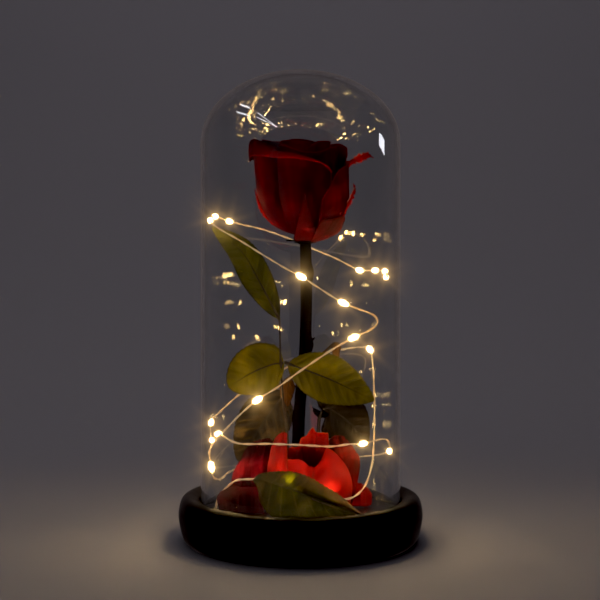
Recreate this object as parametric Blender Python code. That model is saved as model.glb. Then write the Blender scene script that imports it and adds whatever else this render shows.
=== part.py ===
"""A preserved rose under a glass bell, on a turned black wooden base, wound with a string of small lights.

The origin is the centre of the base's underside, +Z is up, and the front faces -Y. Sizes below are in
millimetres, and MM turns them to metres where a point is made.
"""

import math
from functools import partial

import bmesh
import bpy
from mathutils import Vector

MM = 0.001
GAP = 0.3
UP = Vector((0, 0, 1))
TURN_STEPS = 36
BELL_STEPS = 32

# Turned base: a dished top inside a raised rim, with a groove that the glass stands in
BASE_RADIUS = 60.0
FLOOR_Z = 19.6
FLOOR_RADIUS = 46.6
GROOVE_RADIUS = 49.8
GROOVE_Z = 17.0
RIM_Z = 22.2
RIM_RADIUS = 55.8
FOOT_RADIUS = 55.5

# Pocket under the base, with a lid let into a rebate, and a channel from it to the wire's hole
POCKET = (66.0, 42.0, 13.5)
REBATE = (74.6, 50.6, 2.4)
LID_RECESS = 0.5
CHANNEL_WIDTH = 4.0
CHANNEL_DEPTH = 6.0
WIRE_HOLE = (-40.0, -10.4)
WIRE_HOLE_RADIUS = 1.3
STEM_HOLE_RADIUS = 3.7
STEM_HOLE_Z = 15.1

# Glass bell
GLASS_RADIUS = 49.2
GLASS_WALL = 2.0
SHOULDER_Z = 195.0
CAP_HEIGHT = 35.5

# Bloom: nested petals on a cup whose lower part is a quarter ellipse and whose wall stands nearly upright
BLOOM_Z = 147.7
BLOOM_X = 2.0
BLOOM_LEAN = -0.05
CUP_RADIUS = 23.0
CUP_DEPTH = 24.0
CUP_FLARE = 0.05
LIP_ROLL = 2.6
LIP_DIRECTION = 180
LIP_START = 30.0
LIP_RISE = 17.0
PETAL_THICKNESS = 0.5
PETAL_SPACING = 1.15
PETAL_FOOT_RADIUS = 3.8
PETAL_WAIST = 0.35
PETAL_SHOULDER = 0.55
CORNER_DROP = 0.12
RIM_NARROWING = 0.7
HUGGING_SHARE = 0.65
RECEPTACLE_RADIUS = 2.8
CLAW_HALF_WIDTH = 1.3
LEAF_THICKNESS = 0.6
STALK_HALF_WIDTH = 0.8
SMALL_LEAF = 5.0

# Light string
WIRE_DIAMETER = 0.9
BEAD_BORE_RADIUS = 0.8
BEAD_RADIUS = 1.35
BEAD_LENGTH = 4.4
BEAD_STRAIGHT = 3.0
WIRE_TOLERANCE = 1.3

# Petals of the bloom from the outside in: name, direction, half width (degrees), rim height, rim slope (mm)
BLOOM_PETALS = (
    ("petal_right", -22, 60, 37.0, 4.0),
    ("petal_right_rear", 12, 66, 49.0, -1.0),
    ("petal_front", -112, 66, 41.0, -5.0),
    ("petal_left", 164, 64, 48.0, 1.0),
    ("petal_back", 84, 66, 51.5, 0.0),
    ("petal_front_inner", -62, 60, 46.5, 2.0),
    ("petal_left_inner", -160, 58, 48.0, 1.0),
    ("petal_back_inner", 112, 60, 50.5, 0.0),
    ("petal_right_inner", -6, 60, 49.5, 0.0),
    ("petal_heart_1", -120, 66, 48.5, 0.0),
    ("petal_heart_2", 130, 70, 49.5, 0.0),
    ("petal_heart_3", 10, 72, 49.5, 0.0),
    ("petal_heart_4", -105, 80, 48.0, 0.0),
)
OUTER_PETALS = 7
HEART_LAYER = 16.1
HEART_TURNS = 1.6
HEART_WINDING = 3.2
HEART_FOOT = 20.3
HEART_HEIGHT = 47.5

# Narrow dried petals outside the cup: name, direction, half width (degrees), height where the petal leaves
# the cup, and how far its tip reaches out from there and above it
LOOSE_PETALS = (
    ("petal_guard", -88, 20, 20.0, 0.8, 1.5),
    ("petal_claw_upper", 2, 11, 34.5, 12.5, 5.5),
    ("petal_claw_lower", -24, 11, 14.0, 7.5, 11.0),
)

# Rose stem: centre points from the foot up, radii, and its knots (height, direction in degrees, size)
STEM_PATH = ((-1.4, 0, 15.4), (-1.3, 0, 45), (-0.2, 0, 68), (2.0, 0, 90), (2.8, 0, 115), (2.6, 0, 145.2))
STEM_RADIUS = 3.1
STEM_KNOTS = ((96.0, 0, 1.3), (131.5, 0, 1.1), (60.0, 150, 0.9))
STEM_SIDES = 8
STEM_RINGS = 18

# Stalk of the compound leaf at the front left, from beside the stem to its end leaflet
RACHIS_PATH = (
    (-5.9, -4.0, 20.3),
    (-6.0, -4.4, 36),
    (-6.3, -8, 51),
    (-8.5, -10, 69.5),
    (-9.6, -12, 87.6),
    (-10, -11, 101),
    (-9.6, -10, 107.3),
)
RACHIS_RADIUS = 0.8

# Leaves: name, midrib points, direction across the blade, half width, share of the midrib that is bare
# stalk, and fold of the two halves along the midrib
LEAVES = (
    (
        "leaflet_end",
        ((-10.3, -10, 108.6), (-20.5, -8, 128), (-29, -4, 141.8), (-44.3, 1.5, 154.3)),
        (0.8, -0.3, 0.6),
        (7.4, 0.02, 0.12),
    ),
    (
        "leaflet_left",
        ((-11.2, -12.4, 87.4), (-21.9, -15, 84), (-33.6, -17, 78)),
        (-0.4, 0.1, 0.9),
        (11.8, 0.08, 0.10),
    ),
    (
        "leaflet_right",
        ((-7.9, -12.8, 88), (13, -18, 80.5), (34.4, -22, 70.5)),
        (0.38, 0.1, 0.92),
        (11.0, 0.05, 0.10),
    ),
    (
        "leaf_rear_left",
        ((-2.7, 3.1, 75.4), (-8, 7.5, 71), (-19, 8, 56), (-31.5, 6, 37.5)),
        (-0.75, 0.1, 0.62),
        (12.0, 0.16, 0.12),
    ),
    (
        "leaf_rear_right",
        ((2.4, 2.8, 38), (8.2, 6, 50), (9.8, 7, 60), (14, 8.5, 63.5), (25, 11.5, 56), (34.6, 14, 43.5)),
        (0.5, 0.1, 0.8),
        (11.8, 0.4, 0.12),
    ),
    (
        "leaf_small_left",
        ((-3.3, -0.5, 82.8), (-5.6, 0, 78.5), (-6.6, 0.2, 72), (-6.4, 0, 65.5)),
        (1, 0.2, 0),
        (3.0, 0.2, 0.2),
    ),
    (
        "leaf_small_right",
        ((5.7, 1.9, 88), (12, 4, 92.5), (17.2, 5, 96.8), (19, 5, 93.5), (18.4, 5, 87.5)),
        (0.6, 0.7, 0),
        (3.0, 0.55, 0.3),
    ),
    (
        "front_leaf",
        ((-22.4, -33, 35.4), (-8, -38.0, 31.9), (9, -39.2, 27.8), (26.6, -36.6, 20.9)),
        (0, 0.53, 0.85),
        (10.4, 0.0, 0.06),
    ),
)

# Fallen petals round the stem: name, centre, way the outside faces, half width, half length, cupping
FALLEN_PETALS = (
    ("fallen_petal_left", (-24.2, -11.5, 32), (-0.3, -0.9, 0.28), 10.5, 12.0, 3.5),
    ("fallen_petal_upright", (-12.2, -7.4, 37.2), (-0.2, -1, 0.1), 4.6, 16.8, 0.8),
    ("fallen_petal_front", (5.5, -22, 34.6), (0.05, -1, 0.2), 20.0, 14.0, 8.5),
    ("fallen_petal_middle", (5.2, -9.5, 37.2), (0, -1, 0.12), 7.4, 16.9, 1.5),
    ("fallen_petal_right", (18.8, -4.5, 35.2), (0.3, -1, 0.12), 9.6, 15.0, 3.2),
    ("fallen_petal_side", (30.2, 3.2, 25.6), (0.15, -0.6, 0.8), 7.2, 6.8, 1.6),
    ("fallen_petal_low", (-26.4, -21.5, 25.1), (0, -0.55, 0.83), 8.2, 7.0, 1.5),
)

# The wire's route from its hole in the base to its free end. A point marked True carries a light.
WIRE_ROUTE = (
    (-40, -10.4, 15.5, False),
    (-40, -10.6, 21, False),
    (-37.8, -14, 26, False),
    (-32.6, -20, 31.5, False),
    (-28.5, -24.5, 33.8, False),
    (-20, -29.5, 34.8, False),
    (-5.4, -32, 34.2, True),
    (5, -30.8, 31.2, False),
    (13.8, -27.5, 27.6, True),
    (22.3, -21, 25.2, False),
    (30, -13, 28.6, False),
    (34.2, -11, 38, False),
    (35.4, -12.4, 55.5, False),
    (35.3, -12.8, 72, False),
    (34.6, -13.5, 86, False),
    (33.4, -11, 94.1, True),
    (29, 3, 94.6, False),
    (22.6, 14, 93.1, False),
    (13.7, 25, 91, False),
    (-1, 31.5, 85.5, False),
    (-17, 30.5, 77.6, False),
    (-31, 24, 69.9, False),
    (-41, 11, 61.8, False),
    (-44.2, -3, 57.8, True),
    (-42.2, -12.6, 50.4, True),
    (-38.4, -21, 54.6, True),
    (-28.6, -30, 51.4, False),
    (-14.1, -36, 52, False),
    (-0.3, -37, 51.6, False),
    (13.6, -34, 50.5, False),
    (22.6, -28.6, 50.8, False),
    (29.2, -22.6, 50.2, True),
    (38.6, -14, 51.2, False),
    (42.4, -9.4, 49.4, False),
    (43.9, -2.4, 43.6, True),
    (43.4, 14, 40, False),
    (34.5, 30.5, 36, False),
    (15.5, 43.2, 33, False),
    (-8, 44.6, 31.4, False),
    (-27.5, 34.8, 30, False),
    (-37, 20, 30, False),
    (-38.4, 7, 30.6, False),
    (-39.4, -4, 31, False),
    (-41.6, -10.6, 32.8, False),
    (-42.6, -12.6, 37.8, True),
    (-43.6, -13, 44.2, False),
    (-41.2, -19, 49.4, False),
    (-38, -24.2, 53.6, False),
    (-33.4, -27.6, 58.8, False),
    (-28, -29.2, 64.6, False),
    (-19.9, -30, 71.6, True),
    (-10.5, -30.6, 77.6, False),
    (-0.3, -30.6, 85, False),
    (12.3, -28.6, 93.4, False),
    (18.6, -27.4, 97.2, False),
    (24.6, -26.4, 100.4, True),
    (31, -26, 103.4, False),
    (35.2, -26, 106.6, False),
    (34.6, -26.8, 110.2, False),
    (30, -28, 112.6, False),
    (19.7, -31, 116.6, True),
    (12.6, -32.4, 120.8, False),
    (5.7, -33.2, 125.4, False),
    (0.2, -33.4, 128.8, True),
    (-7.2, -33, 132.8, False),
    (-18, -30.6, 139.4, False),
    (-28.4, -26.4, 146, False),
    (-38.4, -18.4, 152, False),
    (-43.6, -9.4, 156.6, True),
    (-42.6, 1, 159.4, True),
    (-36.6, 14, 158, True),
    (-30, 21.8, 156.8, False),
    (-20.2, 28.6, 155, False),
    (-5, 33, 150, False),
    (8, 33.4, 144.4, False),
    (18.4, 31, 140, False),
    (25.7, 26.4, 136, False),
    (30.8, 21.4, 133.4, True),
    (38.2, 12, 133, True),
    (42.2, 2, 132.2, True),
    (41.4, -8.4, 129.2, True),
    (41.2, -14, 129.4, False),
    (39.4, -19.6, 131.6, False),
)


def finish(name, colour, roughness, metallic=0.0, transmission=0.0):
    material = bpy.data.materials.new(name)
    material.use_nodes = True
    shader = material.node_tree.nodes["Principled BSDF"]
    shader.inputs["Base Color"].default_value = (*colour, 1.0)
    shader.inputs["Roughness"].default_value = roughness
    shader.inputs["Metallic"].default_value = metallic
    shader.inputs["Transmission Weight"].default_value = transmission
    material.diffuse_color = (*colour, 1.0)
    return material


def place(name, data, material):
    obj = bpy.data.objects.new(name, data)
    data.materials.append(material)
    bpy.context.collection.objects.link(obj)
    return obj


def mesh_object(name, bm, material, smooth=True):
    """Turns a bmesh in millimetres into an object in metres."""
    bmesh.ops.recalc_face_normals(bm, faces=bm.faces)
    bmesh.ops.scale(bm, vec=(MM, MM, MM), verts=bm.verts)
    mesh = bpy.data.meshes.new(name)
    bm.to_mesh(mesh)
    bm.free()
    if smooth:
        mesh.shade_smooth()
    return place(name, mesh, material)


def turned(name, profile, material, steps=TURN_STEPS):
    """Spins a closed outline of (radius, height) points round the Z axis."""
    bm = bmesh.new()
    points = [bm.verts.new((r, 0, z)) for r, z in profile]
    edges = [bm.edges.new(pair) for pair in zip(points, points[1:])]
    if profile[0][0] > 0:
        edges.append(bm.edges.new((points[-1], points[0])))
    bmesh.ops.spin(bm, geom=points + edges, cent=(0, 0, 0), axis=UP, steps=steps, angle=math.tau)
    bmesh.ops.remove_doubles(bm, verts=bm.verts, dist=0.001)
    return mesh_object(name, bm, material)


def box(name, size, centre, material):
    bm = bmesh.new()
    bmesh.ops.create_cube(bm, size=1.0)
    bmesh.ops.scale(bm, vec=size, verts=bm.verts)
    bmesh.ops.translate(bm, vec=centre, verts=bm.verts)
    return mesh_object(name, bm, material, smooth=False)


def rod(name, radius, low, high, centre, material, sides=16):
    """An upright cylinder between two heights."""
    bm = bmesh.new()
    bmesh.ops.create_cone(
        bm, cap_ends=True, segments=sides, radius1=radius, radius2=radius, depth=high - low
    )
    bmesh.ops.translate(bm, vec=(centre[0], centre[1], (low + high) / 2), verts=bm.verts)
    return mesh_object(name, bm, material)


def cut(obj, cutter):
    cutter.hide_render = True
    cutter.display_type = "WIRE"
    modifier = obj.modifiers.new(cutter.name, "BOOLEAN")
    modifier.operation = "DIFFERENCE"
    modifier.object = cutter


def smooth_path(points, step):
    """Points a step apart along a Catmull-Rom curve through the given ones."""
    points = [Vector(p) for p in points]
    padded = [2 * points[0] - points[1], *points, 2 * points[-1] - points[-2]]
    path = []
    for before, start, end, after in zip(padded, padded[1:], padded[2:], padded[3:]):
        count = max(1, round((end - start).length / step))
        for i in range(count):
            t = i / count
            path.append(
                start
                + 0.5 * t * (end - before)
                + t * t * (before - 2.5 * start + 2 * end - 0.5 * after)
                + t * t * t * (1.5 * start - 0.5 * before - 1.5 * end + 0.5 * after)
            )
    return [*path, points[-1]]


def along(path, share):
    """The point and the direction at a share of a path's points."""
    at = share * (len(path) - 1)
    i = min(int(at), len(path) - 2)
    return path[i].lerp(path[i + 1], at - i), (path[i + 1] - path[i]).normalized()


def tube(name, path, radius_at, sides, rings, material):
    """A closed tube along a path, whose radius follows the height and the direction round it."""
    bm = bmesh.new()
    loops = []
    for ring in range(rings):
        centre, forward = along(path, ring / (rings - 1))
        across = Vector((1, 0, 0)) - forward * forward.x
        across.normalize()
        third = forward.cross(across)
        loop = []
        for side in range(sides):
            angle = math.tau * side / sides
            out = across * math.cos(angle) + third * math.sin(angle)
            loop.append(bm.verts.new(centre + out * radius_at(centre.z, angle)))
        loops.append(loop)
    edges = [bm.edges.new((loop[i - 1], loop[i])) for loop in loops for i in range(sides)]
    for i in range(rings - 1):
        bmesh.ops.bridge_loops(bm, edges=edges[i * sides : (i + 2) * sides])
    bm.faces.new(loops[0])
    bm.faces.new(loops[-1])
    return mesh_object(name, bm, material)


def sheet(name, columns, rows, point_at, thickness, material):
    """A grid whose points are placed by point_at(across, up), with across in -1..1 and up in 0..1."""
    bm = bmesh.new()
    bmesh.ops.create_grid(bm, x_segments=columns, y_segments=rows, size=1.0)
    for vertex in bm.verts:
        vertex.co = point_at(vertex.co.x, (vertex.co.y + 1) / 2) * MM
    mesh = bpy.data.meshes.new(name)
    bm.to_mesh(mesh)
    bm.free()
    mesh.shade_smooth()
    obj = place(name, mesh, material)
    solidify = obj.modifiers.new("thickness", "SOLIDIFY")
    solidify.thickness = thickness * MM
    solidify.offset = 0.0
    return obj


def cup_point(direction, reach, layer):
    """The point at a reach along the cup's outline, a layer inside its outer face."""
    radius, depth = CUP_RADIUS - layer, CUP_DEPTH - layer
    mean = (radius + depth) / 2
    quarter = mean * math.pi / 2
    if reach < quarter:
        r = radius * math.sin(reach / mean)
        z = CUP_DEPTH - depth * math.cos(reach / mean)
    else:
        r = radius + CUP_FLARE * (reach - quarter)
        z = CUP_DEPTH + reach - quarter
    turned_out = max(0, math.cos(direction - math.radians(LIP_DIRECTION)))
    r += LIP_ROLL * turned_out * max(0, (z - LIP_START) / LIP_RISE) ** 2 * r / CUP_RADIUS
    x = r * math.cos(direction) + BLOOM_X + BLOOM_LEAN * z
    return Vector((x, r * math.sin(direction), BLOOM_Z + z))


def cup_reach(height, layer):
    """How far along the cup's outline a point at this height above the bloom's foot is."""
    mean = (CUP_RADIUS + CUP_DEPTH) / 2 - layer
    if height > CUP_DEPTH:
        return mean * math.pi / 2 + height - CUP_DEPTH
    return mean * math.acos((CUP_DEPTH - height) / (CUP_DEPTH - layer))


def foot_reach(layer):
    mean = (CUP_RADIUS + CUP_DEPTH) / 2 - layer
    return mean * math.asin(PETAL_FOOT_RADIUS / (CUP_RADIUS - layer))


def make_base(wood):
    profile = [
        (0, FLOOR_Z),
        (FLOOR_RADIUS, FLOOR_Z),
        (FLOOR_RADIUS, GROOVE_Z),
        (GROOVE_RADIUS, GROOVE_Z),
        (GROOVE_RADIUS, FLOOR_Z + 0.9),
        (GROOVE_RADIUS + 3, RIM_Z - 0.5),
        (RIM_RADIUS, RIM_Z),
        (RIM_RADIUS + 1.9, RIM_Z - 0.9),
        (BASE_RADIUS - 0.9, RIM_Z - 3.2),
        (BASE_RADIUS, FLOOR_Z - 6),
        (BASE_RADIUS - 0.7, 8),
        (BASE_RADIUS - 2.2, 2.5),
        (FOOT_RADIUS, 0),
        (0, 0),
    ]
    base = turned("wooden_base", profile, wood)
    cut(base, box("pocket_cutter", (POCKET[0], POCKET[1], 2 * POCKET[2]), (0, 0, 0), wood))
    cut(base, box("rebate_cutter", (REBATE[0], REBATE[1], 2 * REBATE[2]), (0, 0, 0), wood))
    channel_length = -WIRE_HOLE[0] + CHANNEL_WIDTH / 2 - 10
    centre = (WIRE_HOLE[0] - CHANNEL_WIDTH / 2 + channel_length / 2, WIRE_HOLE[1], 0)
    cut(base, box("channel_cutter", (channel_length, CHANNEL_WIDTH, 2 * CHANNEL_DEPTH), centre, wood))
    cut(base, rod("wire_hole_cutter", WIRE_HOLE_RADIUS, CHANNEL_DEPTH - 2, RIM_Z, WIRE_HOLE, wood, 12))
    stem_foot = STEM_PATH[0]
    cut(base, rod("stem_hole_cutter", STEM_HOLE_RADIUS, STEM_HOLE_Z, RIM_Z, stem_foot, wood))


def make_battery_case(plastic):
    low = REBATE[2] + GAP
    high = POCKET[2] - GAP
    size = (POCKET[0] - 2 * GAP, POCKET[1] - 2 * GAP, high - low)
    box("battery_case", size, (0, 0, (low + high) / 2), plastic)
    lid_top = REBATE[2] - GAP
    lid_size = (REBATE[0] - 2 * GAP, REBATE[1] - 2 * GAP, lid_top - LID_RECESS)
    box("battery_lid", lid_size, (0, 0, (lid_top + LID_RECESS) / 2), plastic)


def make_glass(glass):
    """The bell's outline goes over the outside from the crown to the foot and back up the inside."""
    angles = [math.pi / 2 * i / 7 for i in range(8)]
    inner = GLASS_RADIUS - GLASS_WALL
    outside = [(GLASS_RADIUS * math.sin(a), SHOULDER_Z + CAP_HEIGHT * math.cos(a)) for a in angles]
    inside = [(inner * math.sin(a), SHOULDER_Z + (CAP_HEIGHT - GLASS_WALL) * math.cos(a)) for a in angles]
    foot = GROOVE_Z + GAP
    profile = [*outside, (GLASS_RADIUS, foot), (inner, foot), *reversed(inside)]
    turned("glass_dome", profile, glass, steps=BELL_STEPS)


def make_stem(bark):
    def radius_at(z, angle):
        radius = STEM_RADIUS * (1 - 0.001 * (z - FLOOR_Z))
        for height, direction, size in STEM_KNOTS:
            turn = math.cos(angle - math.radians(direction))
            radius += size * math.exp(-(((z - height) / 3.5) ** 2)) * max(0, turn) ** 2
        return radius

    tube("stem", smooth_path(STEM_PATH, 3), radius_at, STEM_SIDES, STEM_RINGS, bark)


def make_receptacle(bark):
    top = BLOOM_Z + HEART_LAYER + 3
    low = BLOOM_Z - 2.2
    profile = [
        (0, top),
        (RECEPTACLE_RADIUS * 0.7, top - 1),
        (RECEPTACLE_RADIUS, top - 4),
        (RECEPTACLE_RADIUS, BLOOM_Z - 1.0),
        (4.6, BLOOM_Z - 1.5),
        (3.4, low),
        (0, low),
    ]
    receptacle = turned("receptacle", profile, bark, steps=8)
    receptacle.location.x = BLOOM_X * MM


def petal_point(layer, direction, half_width, rim, slope, across, up):
    """A petal of the bloom is narrow at its foot, wide from the middle up, and round at the corners."""
    height = rim + slope * across - CORNER_DROP * rim * abs(across) ** 3
    low = foot_reach(layer)
    reach = low + (cup_reach(height, layer) - low) * up
    widened = math.sin(min(1, up / PETAL_SHOULDER) * math.pi / 2)
    over_shoulder = max(0, (up - PETAL_SHOULDER) / (1 - PETAL_SHOULDER))
    spread = half_width * (PETAL_WAIST + (1 - PETAL_WAIST) * widened)
    spread *= math.sqrt(1 - RIM_NARROWING * over_shoulder**2)
    return cup_point(math.radians(direction + spread * across), reach, layer)


def heart_point(across, up):
    """One narrow petal rolled up on itself in the middle of the bloom."""
    turn = (across + 1) / 2 * HEART_TURNS * math.tau
    radius = CUP_RADIUS - HEART_LAYER - HEART_WINDING * (across + 1) / 2
    low = BLOOM_Z + HEART_FOOT
    z = low + (BLOOM_Z + HEART_HEIGHT - low) * up
    x = BLOOM_X + BLOOM_LEAN * (z - BLOOM_Z)
    return Vector((x + radius * math.cos(turn), radius * math.sin(turn), z))


def make_bloom(velvet):
    for index, (name, *shape) in enumerate(BLOOM_PETALS):
        columns, rows = (6, 7) if index < OUTER_PETALS else (5, 6)
        point_at = partial(petal_point, index * PETAL_SPACING, *shape)
        sheet(name, columns, rows, point_at, PETAL_THICKNESS, velvet)
    sheet("petal_heart_rolled", 14, 3, heart_point, PETAL_THICKNESS, velvet)


def loose_petal_point(direction, half_width, leave, reach_out, rise, across, up):
    """A loose petal hugs the cup up to a height and then stands off it with its edge turned."""
    layer = -PETAL_SPACING - 0.1
    low, high = foot_reach(layer), cup_reach(leave, layer)
    hugging = min(1, up / HUGGING_SHARE)
    peeled = max(0, (up - HUGGING_SHARE) / (1 - HUGGING_SHARE))
    width = half_width * (0.5 + 0.5 * math.sin(hugging * math.pi / 2)) * (1 - 0.8 * peeled)
    point = cup_point(math.radians(direction + width * across), low + (high - low) * hugging, layer)
    outward = Vector((math.cos(math.radians(direction)), math.sin(math.radians(direction)), 0))
    twist = UP * across * CLAW_HALF_WIDTH * math.sin(math.pi * peeled) ** 0.5
    return point + outward * reach_out * peeled**1.3 + UP * rise * peeled**0.7 + twist


def make_loose_petals(velvet):
    for name, *shape in LOOSE_PETALS:
        sheet(name, 3, 9, partial(loose_petal_point, *shape), PETAL_THICKNESS, velvet)


def leaf_point(path, across_way, half_width, bare, fold, across, up):
    """A blade along its midrib, widest before the middle, with its halves folded up a little."""
    centre, forward = along(path, up)
    side = across_way - forward * forward.dot(across_way)
    side.normalize()
    blade = max(0, (up - bare) / (1 - bare))
    width = STALK_HALF_WIDTH * (1 - 0.6 * blade) + half_width * math.sin(math.pi * blade**0.85) ** 0.85
    return centre + side * across * width + side.cross(forward) * abs(across) * width * fold


def make_leaves(green):
    for name, midrib, across_way, shape in LEAVES:
        point_at = partial(leaf_point, smooth_path(midrib, 1.0), Vector(across_way), *shape)
        columns, rows = (4, 9) if shape[0] > SMALL_LEAF else (3, 7)
        sheet(name, columns, rows, point_at, LEAF_THICKNESS, green)


def make_rachis(green):
    tube("leaf_stalk", smooth_path(RACHIS_PATH, 3), lambda z, angle: RACHIS_RADIUS, 6, 8, green)


def fallen_petal_point(centre, facing, half_width, half_length, cupping, across, up):
    """A broad petal that bulges the way it faces, with its edges bent back."""
    normal = Vector(facing).normalized()
    across_way = UP.cross(normal).normalized()
    rise = 2 * up - 1
    width = half_width * (1 - 0.45 * abs(rise) ** 3)
    length = half_length * (1 - 0.15 * across * across)
    back = cupping * (across * across + 0.4 * rise * rise)
    up_way = normal.cross(across_way)
    return Vector(centre) + across_way * across * width + up_way * rise * length - normal * back


def make_fallen_petals(velvet):
    for name, *shape in FALLEN_PETALS:
        sheet(name, 5, 5, partial(fallen_petal_point, *shape), PETAL_THICKNESS, velvet)


def keep_points(path, fixed, straight, tolerance):
    """The indexes of the points that hold a path's shape within a tolerance, with the fixed ones.

    The stretches named in straight stay as they are, because a bead sits on each.
    """
    kept = set(fixed)
    spans = [pair for pair in zip(fixed, fixed[1:]) if pair not in straight]
    while spans:
        first, last = spans.pop()
        chord = path[last] - path[first]
        if last - first < 2 or chord.length == 0:
            continue
        way = chord.normalized()
        far = max(range(first + 1, last), key=lambda i: (path[i] - path[first]).cross(way).length)
        if (path[far] - path[first]).cross(way).length > tolerance:
            kept.add(far)
            spans += [(first, far), (far, last)]
    return sorted(kept)


def make_light_string(copper, resin):
    path = smooth_path([point[:3] for point in WIRE_ROUTE], 1.0)
    lights = []
    fixed = {0, len(path) - 1}
    for *point, lit in WIRE_ROUTE:
        if not lit:
            continue
        centre = min(range(len(path)), key=lambda i: (path[i] - Vector(point)).length)
        near = round(BEAD_STRAIGHT)
        lights.append((centre - near, centre + near))
        fixed |= {centre - near, centre + near}
    chosen = [path[i] for i in keep_points(path, sorted(fixed), lights, WIRE_TOLERANCE)]

    data = bpy.data.curves.new("light_wire", "CURVE")
    data.dimensions = "3D"
    spline = data.splines.new("POLY")
    spline.points.add(len(chosen) - 1)
    for slot, point in zip(spline.points, chosen):
        slot.co = (*(point * MM), 1.0)
    data.bevel_depth = WIRE_DIAMETER / 2 * MM
    data.bevel_resolution = 2
    data.use_fill_caps = True
    place("light_wire", data, copper)

    half = BEAD_LENGTH / 2
    profile = [
        (BEAD_BORE_RADIUS, half),
        (BEAD_RADIUS, half * 0.45),
        (BEAD_RADIUS, -half * 0.45),
        (BEAD_BORE_RADIUS, -half),
    ]
    for number, (before, after) in enumerate(lights, 1):
        bead = turned(f"light_{number:02d}", profile, resin, steps=6)
        bead.location = (path[before] + path[after]) / 2 * MM
        bead.rotation_mode = "QUATERNION"
        bead.rotation_quaternion = UP.rotation_difference(path[after] - path[before])


def main():
    for obj in list(bpy.data.objects):
        bpy.data.objects.remove(obj)
    make_base(finish("black painted wood", (0.012, 0.011, 0.011), 0.38))
    make_battery_case(finish("black moulded plastic", (0.02, 0.02, 0.02), 0.45))
    make_glass(finish("clear glass", (0.98, 0.99, 0.99), 0.02, transmission=1.0))
    bark = finish("dried rose stem", (0.035, 0.022, 0.012), 0.7)
    make_stem(bark)
    make_receptacle(bark)
    velvet = finish("preserved rose petal", (0.22, 0.006, 0.01), 0.65)
    make_bloom(velvet)
    make_loose_petals(velvet)
    make_fallen_petals(velvet)
    green = finish("preserved rose leaf", (0.09, 0.12, 0.02), 0.55)
    make_leaves(green)
    make_rachis(green)
    make_light_string(
        finish("bare copper wire", (0.9, 0.5, 0.3), 0.3, metallic=1.0),
        finish("clear resin over a light", (1.0, 0.8, 0.45), 0.3),
    )


main()
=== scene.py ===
"""The looks of a preserved rose in a glass bell, lit by a string of small warm lights on copper wire."""

import math
from functools import partial

import bpy
from mathutils import Matrix, Vector, noise


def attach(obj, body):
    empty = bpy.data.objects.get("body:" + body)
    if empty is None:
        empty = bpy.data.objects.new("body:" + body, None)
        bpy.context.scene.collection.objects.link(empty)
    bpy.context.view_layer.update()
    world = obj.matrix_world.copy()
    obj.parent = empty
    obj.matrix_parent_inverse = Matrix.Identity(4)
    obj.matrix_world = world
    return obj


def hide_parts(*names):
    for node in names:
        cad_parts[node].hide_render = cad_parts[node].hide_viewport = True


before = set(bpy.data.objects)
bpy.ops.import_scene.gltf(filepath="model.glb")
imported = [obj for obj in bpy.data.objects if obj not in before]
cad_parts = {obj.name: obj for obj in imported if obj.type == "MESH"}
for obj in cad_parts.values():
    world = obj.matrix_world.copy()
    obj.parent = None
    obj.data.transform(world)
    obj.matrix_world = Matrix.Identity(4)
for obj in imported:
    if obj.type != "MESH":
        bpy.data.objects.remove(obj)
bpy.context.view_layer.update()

# Camera. It looks level at the rose from half a metre, at about the middle of the bell. Its place and its
# lens were fitted to the ellipses of the base in the photograph. Sizes are in millimetres, unless a comment
# says otherwise.
MM = 0.001
CAMERA_PLACE = Vector((-0.3, -500, 118))
LENS = 60.6

camera_data = bpy.data.cameras.new("camera")
camera_data.lens = LENS
camera_data.clip_start = 0.01
camera = bpy.data.objects.new("camera", camera_data)
camera.location = CAMERA_PLACE * MM
camera.rotation_euler = (math.radians(90), 0, 0)
bpy.context.scene.collection.objects.link(camera)
bpy.context.scene.camera = camera

# Light string: two thin bare copper wires laid together, led out of the base by a small hole and wound up the
# inside of the bell. They are stiff enough to hold the bends that fingers put in them.
UP = Vector((0, 0, 1))
WIRE_HOLE = (-40.0, -10.4, 19.6)
STRAND_RADIUS = 0.27
STRAND_OFFSET = 0.24
STRAND_STRAYING = 0.2
STRAYING_PITCH = 23.0
TWIST_PITCH = 15.0

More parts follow.
